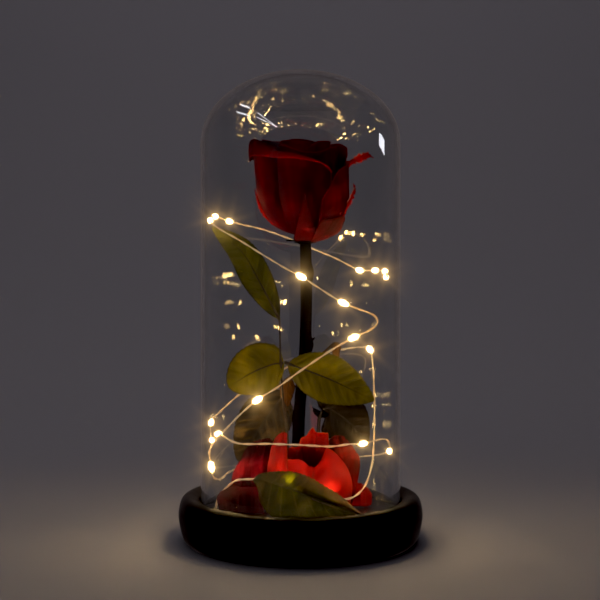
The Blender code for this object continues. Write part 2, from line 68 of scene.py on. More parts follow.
# The wire's route from its hole in the base to its free end. A point marked LIGHT carries a light.
LIGHT = "light"
WIRE_ROUTE = (
    (-40, -10.4, 15.5), (-40, -10.6, 21), (-37.8, -14, 26), (-32.6, -20, 31.5), (-28.5, -24.5, 33.8),
    (-20, -29.5, 34.8), (-5.4, -32, 34.2, LIGHT), (5, -30.8, 31.2), (13.8, -27.5, 27.6, LIGHT),
    (22.3, -21, 25.2), (30, -13, 28.6), (34.2, -11, 38), (35.4, -12.4, 55.5), (35.3, -12.8, 72),
    (34.6, -13.5, 86), (33.4, -11, 94.1, LIGHT), (29, 3, 94.6), (22.6, 14, 93.1), (13.7, 25, 91),
    (-1, 31.5, 85.5), (-17, 30.5, 77.6), (-31, 24, 69.9), (-41, 11, 61.8), (-44.2, -3, 57.8, LIGHT),
    (-42.2, -12.6, 50.4, LIGHT), (-38.4, -21, 54.6, LIGHT), (-28.6, -30, 51.4), (-14.1, -36, 52),
    (-0.3, -37, 51.6), (13.6, -34, 50.5), (22.6, -28.6, 50.8), (29.2, -22.6, 50.2, LIGHT),
    (38.6, -14, 51.2), (42.4, -9.4, 49.4), (43.9, -2.4, 43.6, LIGHT), (43.4, 14, 40), (34.5, 30.5, 36),
    (15.5, 43.2, 33), (-8, 44.6, 31.4), (-27.5, 34.8, 30), (-37, 20, 30), (-38.4, 7, 30.6), (-39.4, -4, 31),
    (-41.6, -10.6, 32.8), (-42.6, -12.6, 37.8, LIGHT), (-43.6, -13, 44.2), (-41.2, -19, 49.4),
    (-38, -24.2, 53.6), (-33.4, -27.6, 58.8), (-28, -29.2, 64.6), (-19.9, -30, 71.6, LIGHT),
    (-10.5, -30.6, 77.6), (-0.3, -30.6, 85), (12.3, -28.6, 93.4), (18.6, -27.4, 97.2),
    (24.6, -26.4, 100.4, LIGHT), (31, -26, 103.4), (35.2, -26, 106.6), (34.6, -26.8, 110.2),
    (30, -28, 112.6), (19.7, -31, 116.6, LIGHT), (12.6, -32.4, 120.8), (5.7, -33.2, 125.4),
    (0.2, -33.4, 128.8, LIGHT), (-7.2, -33, 132.8), (-18, -30.6, 139.4), (-28.4, -26.4, 146),
    (-38.4, -18.4, 152), (-43.6, -9.4, 156.6, LIGHT), (-42.6, 1, 159.4, LIGHT), (-36.6, 14, 158, LIGHT),
    (-30, 21.8, 156.8), (-20.2, 28.6, 155), (-5, 33, 150), (8, 33.4, 144.4), (18.4, 31, 140),
    (25.7, 26.4, 136), (30.8, 21.4, 133.4, LIGHT), (38.2, 12, 133, LIGHT), (42.2, 2, 132.2, LIGHT),
    (41.4, -8.4, 129.2, LIGHT), (41.2, -14, 129.4), (39.4, -19.6, 131.6),
)


def srgb(text):
    """A colour written as an sRGB hex value, as the linear RGBA that a shader takes."""
    parts = [int(text[i : i + 2], 16) / 255 for i in (1, 3, 5)]
    return (*(p / 12.92 if p <= 0.04045 else ((p + 0.055) / 1.055) ** 2.4 for p in parts), 1.0)


def add(tree, kind, inputs=None, stops=None, feeds=None, **settings):
    """Adds a node with its settings and links.

    Inputs maps a socket to its value or to the output that feeds it, stops are a ramp's, and feeds is the
    socket that the node's first output goes to.
    """
    node = tree.nodes.new(kind)
    for name, value in settings.items():
        setattr(node, name, value)
    for name, value in (inputs or {}).items():
        if isinstance(value, bpy.types.NodeSocket):
            tree.links.new(value, node.inputs[name])
        else:
            node.inputs[name].default_value = value
    if stops:
        ramp = node.color_ramp.elements
        while len(ramp) < len(stops):
            ramp.new(1)
        for element, (place, colour) in zip(ramp, stops):
            element.position, element.color = place, colour
    if feeds:
        tree.links.new(node.outputs[0], feeds)
    return node


def new_finish(name, **values):
    """A material with its Principled shader's own sockets set, named as on the shader with _ for a space."""
    material = bpy.data.materials.new(name)
    material.use_nodes = True
    shader = material.node_tree.nodes["Principled BSDF"]
    for socket, value in values.items():
        shader.inputs[socket.replace("_", " ")].default_value = value
    return material, material.node_tree, shader


def pattern_scale(size):
    """The scale of a pattern on Object coordinates, from the size (mm) of what repeats in it."""
    return 1 / (size * MM)


def mottle(tree, shader, size, detail, stops, stretch=None):
    """Tints a finish with patches of this size (mm), and returns their noise."""
    place = add(tree, "ShaderNodeTexCoord").outputs["Object"]
    if stretch:
        place = add(tree, "ShaderNodeMapping", {"Vector": place, "Scale": stretch}).outputs[0]
    noise_inputs = {"Vector": place, "Scale": pattern_scale(size), "Detail": detail}
    patches = add(tree, "ShaderNodeTexNoise", noise_inputs)
    stops = [(share, srgb(colour)) for share, colour in stops]
    add(tree, "ShaderNodeValToRGB", {"Fac": patches.outputs["Fac"]}, stops, shader.inputs["Base Color"])
    return patches.outputs["Fac"]


def fit(piece, material, slot, *nodes):
    """Gives a finished piece its material, if one is named, and its place in the model."""
    if material:
        piece.data.materials.append(material)
    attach(piece, "root")
    if nodes:
        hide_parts(*nodes)
    return piece


def curve_between(before, start, end, after, t):
    """A Catmull-Rom curve from start to end, for points and for plain values."""
    bend = 2 * before - 5 * start + 4 * end - after + t * (3 * start - before - 3 * end + after)
    return start + 0.5 * t * (end - before + t * bend)


def smooth_path(points, step=1.0):
    """Points about a step apart along a smooth curve through the given ones."""
    points = [Vector(p) for p in points]
    padded = [2 * points[0] - points[1], *points, 2 * points[-1] - points[-2]]
    path = []
    for before, start, end, after in zip(padded, padded[1:], padded[2:], padded[3:]):
        count = max(1, round((end - start).length / step))
        path += [curve_between(before, start, end, after, i / count) for i in range(count)]
    return [*path, points[-1]]


def strand_points(path, turn):
    """One strand's points, winding slowly round the wire's line and straying from it a little."""
    across = Vector((1, 0, 0))
    strand = []
    for i, point in enumerate(path):
        forward = (path[min(i + 1, len(path) - 1)] - path[max(i - 1, 0)]).normalized()
        across = (across - forward * forward.dot(across)).normalized()
        angle = turn + math.tau * i / TWIST_PITCH
        stray = STRAND_OFFSET + STRAND_STRAYING * max(0, noise.noise(Vector((i / STRAYING_PITCH, turn, 0))))
        way = across * math.cos(angle) + forward.cross(across) * math.sin(angle)
        strand.append(point + way * stray)
    return strand


wire_path = smooth_path([point[:3] for point in WIRE_ROUTE])
wire_curve = bpy.data.curves.new("wire", "CURVE")
wire_curve.dimensions = "3D"
wire_curve.bevel_depth = STRAND_RADIUS * MM
wire_curve.bevel_resolution = 1
wire_curve.use_fill_caps = True
for turn in (0, math.pi):
    strand = strand_points(wire_path, turn)
    spline = wire_curve.splines.new("POLY")
    spline.points.add(len(strand) - 1)
    for place, point in zip(spline.points, strand):
        place.co = (*(point * MM), 1)
wire = bpy.data.objects.new("wire", wire_curve)
bpy.context.scene.collection.objects.link(wire)
bpy.ops.object.select_all(action="DESELECT")
wire.select_set(True)
bpy.context.view_layer.objects.active = wire
bpy.ops.object.convert(target="MESH")
wire = bpy.context.object
wire.data.shade_smooth()

# Drawn copper keeps a bright, slightly streaked skin that has gone a little brown where it was handled. So
# close to its lights it shows lit all along: that light is painted, as a paler colour and a faint glow.
HANDLED_PATCH = 11.11
WIRE_PAINTED_GLOW = 0.16
copper, tree, shader = new_finish(
    "drawn copper wire",
    Metallic=0.35,
    Roughness=0.45,
    Emission_Color=srgb("#FFD8A4"),
    Emission_Strength=WIRE_PAINTED_GLOW,
)
mottle(tree, shader, HANDLED_PATCH, 3.0, [(0.3, "#F0C898"), (0.6, "#FFF2DC")])
wire.data.materials.clear()
fit(wire, copper, "copper", "light_wire")

# Lights: each is a tiny warm white chip soldered across the two wires inside a drop of clear resin, which was
# put on by hand, so no two drops are quite alike.
BEAD_RADIUS = 1.3
BEAD_HALF_LENGTH = 2.5
BEAD_TIP_RADIUS = 0.42
BEAD_FULLNESS = 0.8
BEAD_CLOSING = 0.2
BEAD_LUMPS = 0.12
BEAD_LUMP_SCALE = 1.3
BEAD_STRAIGHT = 3
BEAD_SIDES, BEAD_RINGS = 20, 14
CHIP_SIDES, CHIP_RINGS = 10, 8
CHIP_RADIUS = 0.55
CHIP_HALF_LENGTH = 0.95
CHIP_BRIGHTNESS = 560.0
RESIN_PAINTED_GLOW = 13.0
LIGHT_COLOUR = srgb("#FFE0B0")
GLOW_COLOUR = srgb("#FFD890")


def let_light_through(tree, shader):
    """A clear piece throws no shadow, because light passes straight through its thin wall."""
    see_through = add(tree, "ShaderNodeBsdfTransparent")
    rays = add(tree, "ShaderNodeLightPath")
    add(
        tree,
        "ShaderNodeMixShader",
        {0: rays.outputs["Is Shadow Ray"], 1: shader.outputs[0], 2: see_through.outputs[0]},
        feeds=tree.nodes["Material Output"].inputs["Surface"],
    )


# Clear resin carries its chip's light all through the drop, so a light shows as a small warm drop with a far
# brighter chip in it that burns out to white. The drop's warm glow is painted light, an emission of its own.
resin, tree, shader = new_finish(
    "clear epoxy resin",
    Base_Color=srgb("#FFE2B0"),
    Roughness=0.1,
    IOR=1.55,
    Transmission_Weight=1.0,
    Emission_Color=GLOW_COLOUR,
    Emission_Strength=RESIN_PAINTED_GLOW,
)
let_light_through(tree, shader)
chip_finish, tree, shader = new_finish(
    "lit phosphor chip",
    Base_Color=srgb("#FFF2D0"),
    Roughness=0.5,
    Emission_Color=LIGHT_COLOUR,
    Emission_Strength=CHIP_BRIGHTNESS,
)


def ball_piece(name, segments, rings, shape, place, way):
    """A sphere primitive whose points are moved by shape(unit point), then turned to lie along the wire."""
    bpy.ops.object.select_all(action="DESELECT")
    bpy.ops.mesh.primitive_uv_sphere_add(segments=segments, ring_count=rings, radius=1)
    piece = bpy.context.object
    piece.name = piece.data.name = name
    turn = UP.rotation_difference(way)
    for vertex in piece.data.vertices:
        vertex.co = (place + turn @ shape(vertex.co)) * MM
    piece.data.shade_smooth()
    return piece


def join(pieces):
    """One piece out of several, which keeps the first one's name."""
    bpy.ops.object.select_all(action="DESELECT")
    for piece in pieces:
        piece.select_set(True)
    bpy.context.view_layer.objects.active = pieces[0]
    bpy.ops.object.join()
    return bpy.context.object


def drop_shape(number, unit):
    """A drop that is fat in the middle and runs out along the wire."""
    girth = BEAD_TIP_RADIUS + (BEAD_RADIUS - BEAD_TIP_RADIUS) * (1 - unit.z**2) ** BEAD_FULLNESS
    lump = 1 + BEAD_LUMPS * noise.noise(unit * BEAD_LUMP_SCALE + Vector((number, 0, 0)))
    ring = max(1e-6, math.hypot(unit.x, unit.y))
    closing = min(1, ring / BEAD_CLOSING)
    x, y = (value / ring * girth * lump * closing for value in (unit.x, unit.y))
    return Vector((x, y, unit.z * BEAD_HALF_LENGTH))


def chip_shape(unit):
    return Vector((unit.x * CHIP_RADIUS, unit.y * CHIP_RADIUS, unit.z * CHIP_HALF_LENGTH))


light_points = [Vector(point[:3]) for point in WIRE_ROUTE if point[-1] == LIGHT]
for number, point in enumerate(light_points, 1):
    middle = min(range(len(wire_path)), key=lambda i: (wire_path[i] - point).length)
    place = wire_path[middle]
    way = wire_path[middle + BEAD_STRAIGHT] - wire_path[middle - BEAD_STRAIGHT]
    drop_at = partial(drop_shape, number)
    drop = ball_piece(f"light_drop_{number:02d}", BEAD_SIDES, BEAD_RINGS, drop_at, place, way)
    chip = ball_piece(f"light_chip_{number:02d}", CHIP_SIDES, CHIP_RINGS, chip_shape, place, way)
    drop.data.materials.append(resin)
    chip.data.materials.append(chip_finish)
    fit(join([drop, chip]), None, "light", f"light_{number:02d}")

# Base: one disc of wood turned on a lathe, with a dished top and a groove for the glass, painted satin black.
# The paint is thin, so the rings that the tool left show faintly, and it has gathered a little fine dust.
BASE_RADIUS = 60.0
FLOOR_Z = 19.6
FLOOR_RADIUS = 46.6
GROOVE_RADIUS = 49.8
GROOVE_Z = 17.0
RIM_Z = 22.2
RIM_RADIUS = 55.8
FOOT_RADIUS = 55.5
POCKET = (66.0, 42.0, 13.5)
REBATE = (74.6, 50.6, 2.4)
CHANNEL_WIDTH = 4.0
CHANNEL_DEPTH = 6.0
CHANNEL_INNER_END = 10.0
WIRE_HOLE_RADIUS = 1.3
STEM_HOLE_RADIUS = 3.7
STEM_HOLE_Z = 15.1
STEM_FOOT = (-1.4, 0.0)
SIDE_STEP = 1.2
LATHE_STEPS = 144
DRILL_SIDES = 40
SEAM_GAP = 0.005
SHARP_FROM = 32
TOOL_MARK = 0.9
PAINT_GRAIN = 2.381
DUST_PATCH = 14.29


def apply_modifier(piece, kind, **settings):
    """Adds a modifier with its settings to a piece and applies it."""
    modifier = piece.modifiers.new(kind, kind)
    for name, value in settings.items():
        setattr(modifier, name, value)
    bpy.context.view_layer.objects.active = piece
    bpy.ops.object.modifier_apply(modifier=modifier.name)


def lathe(name, outline, steps):
    """A chain of points is extruded along an outline of (radius, height) and spun round the upright axis."""
    bpy.ops.object.select_all(action="DESELECT")
    bpy.ops.mesh.primitive_plane_add(size=MM)
    piece = bpy.context.object
    piece.name = piece.data.name = name
    bpy.ops.object.mode_set(mode="EDIT")
    bpy.ops.mesh.select_all(action="SELECT")
    bpy.ops.mesh.merge(type="CENTER")
    at = (0, 0)
    for i, (radius, height) in enumerate(outline):
        move = {"value": ((radius - at[0]) * MM, 0, (height - at[1]) * MM)}
        if i:
            bpy.ops.mesh.extrude_vertices_move(TRANSFORM_OT_translate=move)
        else:
            bpy.ops.transform.translate(**move)
        at = (radius, height)
    bpy.ops.mesh.select_all(action="SELECT")
    bpy.ops.mesh.spin(steps=steps, angle=math.tau, center=(0, 0, 0), axis=UP)
    bpy.ops.mesh.select_all(action="SELECT")
    bpy.ops.mesh.remove_doubles(threshold=SEAM_GAP * MM)
    bpy.ops.mesh.normals_make_consistent(inside=False)
    bpy.ops.object.mode_set(mode="OBJECT")
    piece.data.shade_smooth()
    return piece


def block(name, size, centre):
    """A box, placed in its own mesh."""
    bpy.ops.object.select_all(action="DESELECT")
    bpy.ops.mesh.primitive_cube_add(size=1, location=Vector(centre) * MM, scale=Vector(size) * MM)
    bpy.ops.object.transform_apply(location=True, rotation=False, scale=True)
    piece = bpy.context.object
    piece.name = piece.data.name = name
    return piece


def drill(name, radius, low, high, centre):
    """An upright round cutter."""
    bpy.ops.object.select_all(action="DESELECT")
    bpy.ops.mesh.primitive_cylinder_add(
        vertices=DRILL_SIDES,
        radius=radius * MM,
        depth=(high - low) * MM,
        location=Vector((centre[0], centre[1], (low + high) / 2)) * MM,
    )
    bpy.ops.object.transform_apply(location=True, rotation=False, scale=False)
    bpy.context.object.name = name
    return bpy.context.object


def cut(piece, cutter):
    """Takes a cutter's shape out of a piece."""
    apply_modifier(piece, "BOOLEAN", operation="DIFFERENCE", object=cutter)
    bpy.data.objects.remove(cutter)


side_curve = smooth_path(
    [
        (RIM_RADIUS, 0, RIM_Z),
        (RIM_RADIUS + 1.9, 0, RIM_Z - 0.9),
        (BASE_RADIUS - 0.9, 0, RIM_Z - 3.2),
        (BASE_RADIUS, 0, FLOOR_Z - 6),
        (BASE_RADIUS - 0.7, 0, 8),
        (BASE_RADIUS - 2.2, 0, 2.5),
        (FOOT_RADIUS, 0, 0),
    ],
    SIDE_STEP,
)
base_outline = [
    (0, FLOOR_Z),
    (FLOOR_RADIUS - 0.4, FLOOR_Z),
    (FLOOR_RADIUS, FLOOR_Z - 0.4),
    (FLOOR_RADIUS, GROOVE_Z),
    (GROOVE_RADIUS, GROOVE_Z),
    (GROOVE_RADIUS, FLOOR_Z + 0.6),
    (GROOVE_RADIUS + 0.3, FLOOR_Z + 0.95),
    (GROOVE_RADIUS + 1.6, FLOOR_Z + 1.6),
    (GROOVE_RADIUS + 3, RIM_Z - 0.5),
    (GROOVE_RADIUS + 4.6, RIM_Z - 0.1),
    *((point.x, point.z) for point in side_curve),
    (0, 0),
]
base = lathe("turned_base", base_outline, LATHE_STEPS)
cut(base, block("pocket_cutter", (POCKET[0], POCKET[1], 2 * POCKET[2]), (0, 0, 0)))
cut(base, block("rebate_cutter", (REBATE[0], REBATE[1], 2 * REBATE[2]), (0, 0, 0)))
channel_length = -WIRE_HOLE[0] + CHANNEL_WIDTH / 2 - CHANNEL_INNER_END
channel_centre = (WIRE_HOLE[0] - CHANNEL_WIDTH / 2 + channel_length / 2, WIRE_HOLE[1], 0)
cut(base, block("channel_cutter", (channel_length, CHANNEL_WIDTH, 2 * CHANNEL_DEPTH), channel_centre))
cut(base, drill("wire_hole_cutter", WIRE_HOLE_RADIUS, CHANNEL_DEPTH - 2, RIM_Z, WIRE_HOLE))
cut(base, drill("stem_hole_cutter", STEM_HOLE_RADIUS, STEM_HOLE_Z, RIM_Z, STEM_FOOT))
bpy.context.view_layer.objects.active = base
base.select_set(True)
bpy.ops.object.shade_smooth_by_angle(angle=math.radians(SHARP_FROM))

lacquer, tree, shader = new_finish(
    "satin black paint on turned wood", Base_Color=srgb("#050404"), IOR=1.48, Specular_IOR_Level=0.3
)
place = add(tree, "ShaderNodeTexCoord")
split = add(tree, "ShaderNodeSeparateXYZ", {0: place.outputs["Object"]})
square = add(tree, "ShaderNodeMath", {0: split.outputs["X"], 1: split.outputs["X"]}, operation="MULTIPLY")
squares = add(
    tree,
    "ShaderNodeMath",
    {0: split.outputs["Y"], 1: split.outputs["Y"], 2: square.outputs[0]},
    operation="MULTIPLY_ADD",
)
radius = add(tree, "ShaderNodeMath", {0: squares.outputs[0]}, operation="SQRT")
turning = add(
    tree,
    "ShaderNodeMath",
    {0: radius.outputs[0], 1: math.tau / (TOOL_MARK * MM)},
    operation="MULTIPLY",
)
rings = add(tree, "ShaderNodeMath", {0: turning.outputs[0]}, operation="SINE")
grain = add(
    tree,
    "ShaderNodeTexNoise",
    {"Vector": place.outputs["Object"], "Scale": pattern_scale(PAINT_GRAIN), "Detail": 4.0},
)
relief = add(
    tree, "ShaderNodeMath", {0: rings.outputs[0], 1: 0.12, 2: grain.outputs["Fac"]}, operation="MULTIPLY_ADD"
)
add(
    tree,
    "ShaderNodeBump",
    {"Height": relief.outputs[0], "Strength": 0.10, "Distance": 0.2 * MM},
    feeds=shader.inputs["Normal"],
)
dust = add(
    tree,
    "ShaderNodeTexNoise",
    {"Vector": place.outputs["Object"], "Scale": pattern_scale(DUST_PATCH), "Detail": 6.0},
)
add(
    tree,
    "ShaderNodeMapRange",
    {"Value": dust.outputs["Fac"], "From Min": 0.35, "From Max": 0.7, "To Min": 0.3, "To Max": 0.46},
    feeds=shader.inputs["Roughness"],
)
fit(base, lacquer, "painted_wood", "wooden_base")

# Battery case and its lid: black ABS, moulded with a fine spark-eroded grain and softened edges, let into the
# underside of the base.
GAP = 0.3
LID_RECESS = 0.5
MOULDED_EDGE = 0.6
EDGE_SEGMENTS = 3

# The real grain is finer than this, and is drawn as coarse as it needs to be to dull the plastic's shine
SPARK_GRAIN = 0.4
case_low = REBATE[2] + GAP
case_high = POCKET[2] - GAP
case = block(
    "battery_holder",
    (POCKET[0] - 2 * GAP, POCKET[1] - 2 * GAP, case_high - case_low),
    (0, 0, (case_low + case_high) / 2),
)
lid_top = REBATE[2] - GAP
lid = block(
    "battery_cover",
    (REBATE[0] - 2 * GAP, REBATE[1] - 2 * GAP, lid_top - LID_RECESS),
    (0, 0, (lid_top + LID_RECESS) / 2),
)
abs_plastic, tree, shader = new_finish(
    "moulded black ABS", Base_Color=srgb("#151516"), Roughness=0.5, IOR=1.54
)
place = add(tree, "ShaderNodeTexCoord")
grain = add(
    tree,
    "ShaderNodeTexNoise",
    {"Vector": place.outputs["Object"], "Scale": pattern_scale(SPARK_GRAIN), "Detail": 2.0},
)
add(
    tree,
    "ShaderNodeBump",
    {"Height": grain.outputs["Fac"], "Strength": 0.25, "Distance": 0.05 * MM},
    feeds=shader.inputs["Normal"],
)
for piece, node in ((case, "battery_case"), (lid, "battery_lid")):
    apply_modifier(piece, "BEVEL", width=MOULDED_EDGE * MM, segments=EDGE_SEGMENTS)
    piece.data.shade_smooth()
    apply_modifier(piece, "WEIGHTED_NORMAL", keep_sharp=True)
    fit(piece, abs_plastic, "plastic", node)

# Glass bell: blown soda-lime glass, drawn up into a dome and cut off at the foot, where the edge is fire
# polished. Blown glass is never quite even, so reflections wander a little over it.
GLASS_RADIUS = 49.2
GLASS_WALL = 2.0
SHOULDER_Z = 195.0
CAP_HEIGHT = 35.5
CAP_STEPS = 28
WALL_STEPS = 8
FOOT_STEPS = 8
BELL_STEPS = 128
FOOT_ROUNDING = 1.0
GLASS_FOOT = GROOVE_Z + GAP
GLASS_WAVE = 35.71


def cap_arc(radius, height):
    """A quarter ellipse from the crown down to the shoulder."""
    angles = [math.pi / 2 * i / CAP_STEPS for i in range(CAP_STEPS + 1)]
    return [(radius * math.sin(a), SHOULDER_Z + height * math.cos(a)) for a in angles]


inner = GLASS_RADIUS - GLASS_WALL
wall_end = GLASS_FOOT + FOOT_ROUNDING
wall_steps = [SHOULDER_Z + (wall_end - SHOULDER_Z) * i / WALL_STEPS for i in range(1, WALL_STEPS + 1)]
foot_arc = [
    (GLASS_RADIUS - GLASS_WALL / 2 + GLASS_WALL / 2 * math.cos(a), wall_end - FOOT_ROUNDING * math.sin(a))
    for a in (math.pi * i / FOOT_STEPS for i in range(1, FOOT_STEPS))
]
glass_outline = [
    *cap_arc(GLASS_RADIUS, CAP_HEIGHT),
    *((GLASS_RADIUS, z) for z in wall_steps),
    *foot_arc,
    *((inner, z) for z in reversed(wall_steps)),
    *reversed(cap_arc(inner, CAP_HEIGHT - GLASS_WALL)),
]
bell = lathe("glass_bell", glass_outline, BELL_STEPS)
clear_glass, tree, shader = new_finish(
    "blown soda-lime glass",
    Base_Color=srgb("#FDFEFE"),
    Roughness=0.0,
    IOR=1.5,
    Transmission_Weight=1.0,
    Coat_Weight=1.0,
    Coat_Roughness=0.0,
    Coat_IOR=1.9,
)
place = add(tree, "ShaderNodeTexCoord")
uneven = add(
    tree,
    "ShaderNodeTexNoise",
    {"Vector": place.outputs["Object"], "Scale": pattern_scale(GLASS_WAVE), "Detail": 1.0},
)
add(
    tree,
    "ShaderNodeBump",
    {"Height": uneven.outputs["Fac"], "Strength": 0.1, "Distance": 0.1 * MM},
    feeds=shader.inputs["Normal"],
)
let_light_through(tree, shader)
fit(bell, clear_glass, "glass", "glass_dome")

# Stem: a real rose stem, dried nearly black, pushed into a drilled hole. Its bark has shrunk into fine ridges
# along it, and it keeps the swollen knots and one thorn.
STEM_PATH = ((-1.4, 0, 15.4), (-1.3, 0, 45), (-0.2, 0, 68), (2.0, 0, 90), (2.8, 0, 115), (2.4, 0, 149))
STEM_RADIUS = 3.1
STEM_TAPER = 0.001
STEM_KNOTS = ((96.0, 0, 1.3), (131.5, 0, 1.1), (60.0, 150, 0.9))
KNOT_HEIGHT = 3.5
BARK_RIDGE = 0.22
BARK_PITTING = 0.4
BARK_FIBRE = 0.7143
FIBRE_STRETCH = (1, 1, 0.12)
THORN = ((5.0, -0.8, 98.6), (6.2, -1.1, 98.7), (7.2, -1.4, 99.8))
THORN_RADIUS = 0.9
THORN_STEP = 0.2
STEM_GRID = (48, 200)
THORN_GRID = (12, 14)
GRID_GAP = 0.004
END_CLOSING = 0.012


def along(path, share):
    """The point and the direction at a share of a path's points."""
    at = share * (len(path) - 1)
    i = min(int(at), len(path) - 2)
    return path[i].lerp(path[i + 1], at - i), (path[i + 1] - path[i]).normalized()


def grid_piece(name, columns, rows, point_at):
    """A grid primitive with its points moved to point_at(across, up), across in -1..1 and up in 0..1."""
    bpy.ops.object.select_all(action="DESELECT")
    bpy.ops.mesh.primitive_grid_add(x_subdivisions=columns, y_subdivisions=rows, size=2)
    piece = bpy.context.object
    piece.name = piece.data.name = name
    for vertex in piece.data.vertices:
        vertex.co = point_at(vertex.co.x, (vertex.co.y + 1) / 2) * MM
    piece.data.shade_smooth()
    return piece


def close_seams(piece):
    """Joins a rolled grid's two edges and its poles, and turns its faces outwards."""
    bpy.context.view_layer.objects.active = piece
    bpy.ops.object.mode_set(mode="EDIT")
    bpy.ops.mesh.select_all(action="SELECT")
    bpy.ops.mesh.remove_doubles(threshold=GRID_GAP * MM)
    bpy.ops.mesh.normals_make_consistent(inside=False)
    bpy.ops.object.mode_set(mode="OBJECT")
    return piece


def tube_point(path, radius_at, across, up):
    """A round stalk along a path. It closes to a point at both ends."""
    centre, forward = along(path, up)
    side = (Vector((1, 0, 0)) - forward * forward.x).normalized()
    angle = (across + 1) * math.pi
    out = side * math.cos(angle) + forward.cross(side) * math.sin(angle)
    closing = min(1, up / END_CLOSING, (1 - up) / END_CLOSING)
    return centre + out * radius_at(centre, angle, up) * math.sqrt(max(0, closing))


def stem_radius(centre, angle, up):
    radius = STEM_RADIUS * (1 - STEM_TAPER * (centre.z - FLOOR_Z))
    for height, direction, size in STEM_KNOTS:
        turn = max(0, math.cos(angle - math.radians(direction)))
        radius += size * math.exp(-(((centre.z - height) / KNOT_HEIGHT) ** 2)) * turn**2
    ring = Vector((math.cos(angle), math.sin(angle), 0))
    ridge = noise.noise(ring * 2.6 + UP * centre.z * 0.05)
    pitting = noise.noise(ring * 6 + UP * centre.z * 0.35)
    return radius + BARK_RIDGE * ridge + BARK_PITTING * BARK_RIDGE * pitting


stem_at = partial(tube_point, smooth_path(STEM_PATH), stem_radius)
stem = close_seams(grid_piece("rose_stem", *STEM_GRID, stem_at))


def thorn_radius(centre, angle, up):
    return THORN_RADIUS * (1 - up) ** 0.7


thorn_at = partial(tube_point, smooth_path(THORN, THORN_STEP), thorn_radius)
thorn = close_seams(grid_piece("thorn", *THORN_GRID, thorn_at))
stem = join([stem, thorn])
bark, tree, shader = new_finish("dried rose bark", Roughness=0.8, Specular_IOR_Level=0.02)
bark_stops = [(0.3, "#030201"), (0.6, "#080402"), (0.75, "#140B05")]
fibres = mottle(tree, shader, BARK_FIBRE, 5.0, bark_stops, FIBRE_STRETCH)
bark_relief = {"Height": fibres, "Strength": 0.5, "Distance": 0.2 * MM}
add(tree, "ShaderNodeBump", bark_relief, feeds=shader.inputs["Normal"])
fit(stem, bark, "bark", "stem")

# Bloom: real rose petals, preserved in glycerine and dyed, so they are soft, velvety and nearly black in the
# shade. They sit round the swollen top of the stem, each in its own layer of one cup, with rolled rims.
BLOOM_Z = 147.7
BLOOM_X = 2.0
BLOOM_LEAN = -0.05
CUP_RADIUS = 23.0
CUP_DEPTH = 24.0
CUP_FLARE = 0.03
CUP_FULLNESS = 0.85
PETAL_WALL = 0.34
PETAL_SPACING = 1.15
PETAL_FOOT_RADIUS = 3.8
PETAL_WAIST = 0.6
PETAL_SHOULDER = 0.55
CORNER_DROP = 3.0
RIM_WAVE = 0.6
ROLL_ROWS = 0.24
ROLL_SHARE = 0.07
ROLL_ROUNDING = 0.45
ROLL_UNEVENNESS = 0.05
LENGTH_UNEVENNESS = 0.2
CRUMPLE = 0.28
EDGE_LIFT = 0.6
EDGE_FROM = 0.85
PETAL_GRID = 56
HEART_GRID = (130, 18)
HEART_LAYER = 16.1
HEART_TURNS = 1.6
HEART_WINDING = 3.2
HEART_FOOT = 20.3
HEART_HEIGHT = 47.0
HEART_RIM_WAVE = 0.8

# Petals from the outside in: name, direction and half width (degrees), then from one side of the petal to the
# other the rim's height (mm), and the angle (degrees), the radius and the length (mm) of its roll
BLOOM_PETALS = (
    ("petal_right", -14, 54, (20.3, 32.0, 37.0, 39.0, 36.0), (50, 35), (2.0, 2.5), (1.6, 2.0)),
    ("petal_right_rear", 34, 62, (38.0, 45.4, 49.0, 49.4, 48.0), (40, 40), (2.5, 3.0), (2.0, 2.5)),
    (
        "petal_front", -120, 72, (43.5, 48.2, 41.2, 37.8, 34.6),
        (194, 180, 150, 138, 80), (1.3, 1.25, 2.2, 1.7, 1.0), (6.5, 10.5, 8.6, 6.0, 1.8),
    ),
    ("petal_left", 158, 60, (47.5, 48.8, 49.0, 48.8, 47.6), (60, 50), (2.5, 2.0), (2.5, 2.0)),
    ("petal_back", 84, 66, (46.0, 48.0, 49.0, 48.5, 46.5), (60, 60), (2.5, 2.5), (3.0, 3.0)),
    ("petal_front_inner", -72, 64, (46.0, 42.6, 40.6, 43.6, 47.0), (75, 55), (2.2, 2.2), (3.0, 2.2)),
    ("petal_left_inner", -160, 60, (48.5, 48.8, 48.4, 46.4, 44.0), (55, 70), (2.4, 2.2), (2.2, 2.4)),
    ("petal_back_inner", 112, 60, (47.0, 48.5, 49.0, 48.5, 47.0), (40, 40), (2.5, 2.5), (2.0, 2.0)),
    ("petal_right_inner", -20, 62, (44.0, 46.8, 47.8, 48.6, 48.6), (60, 45), (2.2, 2.4), (2.2, 2.0)),
    ("petal_heart_1", -120, 66, (46.4, 47.2, 47.0, 46.4, 45.4), (45, 45), (2.0, 2.0), (1.8, 1.8)),
    ("petal_heart_2", 130, 70, (47.5, 48.0, 48.0, 48.0, 47.0), (40, 40), (2.0, 2.0), (1.6, 1.6)),
    ("petal_heart_3", 10, 72, (47.0, 47.8, 48.0, 47.8, 47.0), (35, 35), (2.0, 2.0), (1.6, 1.6)),
    ("petal_heart_4", -105, 80, (47.0, 47.8, 48.0, 47.6, 47.0), (30, 30), (2.0, 2.0), (1.4, 1.4)),
)

# Folds that run down through all the layers of the bloom: direction and half width (degrees), and how deep
# they press inwards (mm), with a minus for a ridge
BLOOM_FOLDS = (
    (180, 42, -2.0), (-133, 7, 7.5), (-152, 8, -0.8), (-106, 8, -0.7), (-90, 7, 0.5), (-74, 9, -0.4),
    (-38, 8, 0.5), (-20, 9, -0.5), (40, 12, 0.8), (95, 10, 1.0), (140, 12, -0.6),
)
DEEPEST_FOLD_LAYER = 15.0


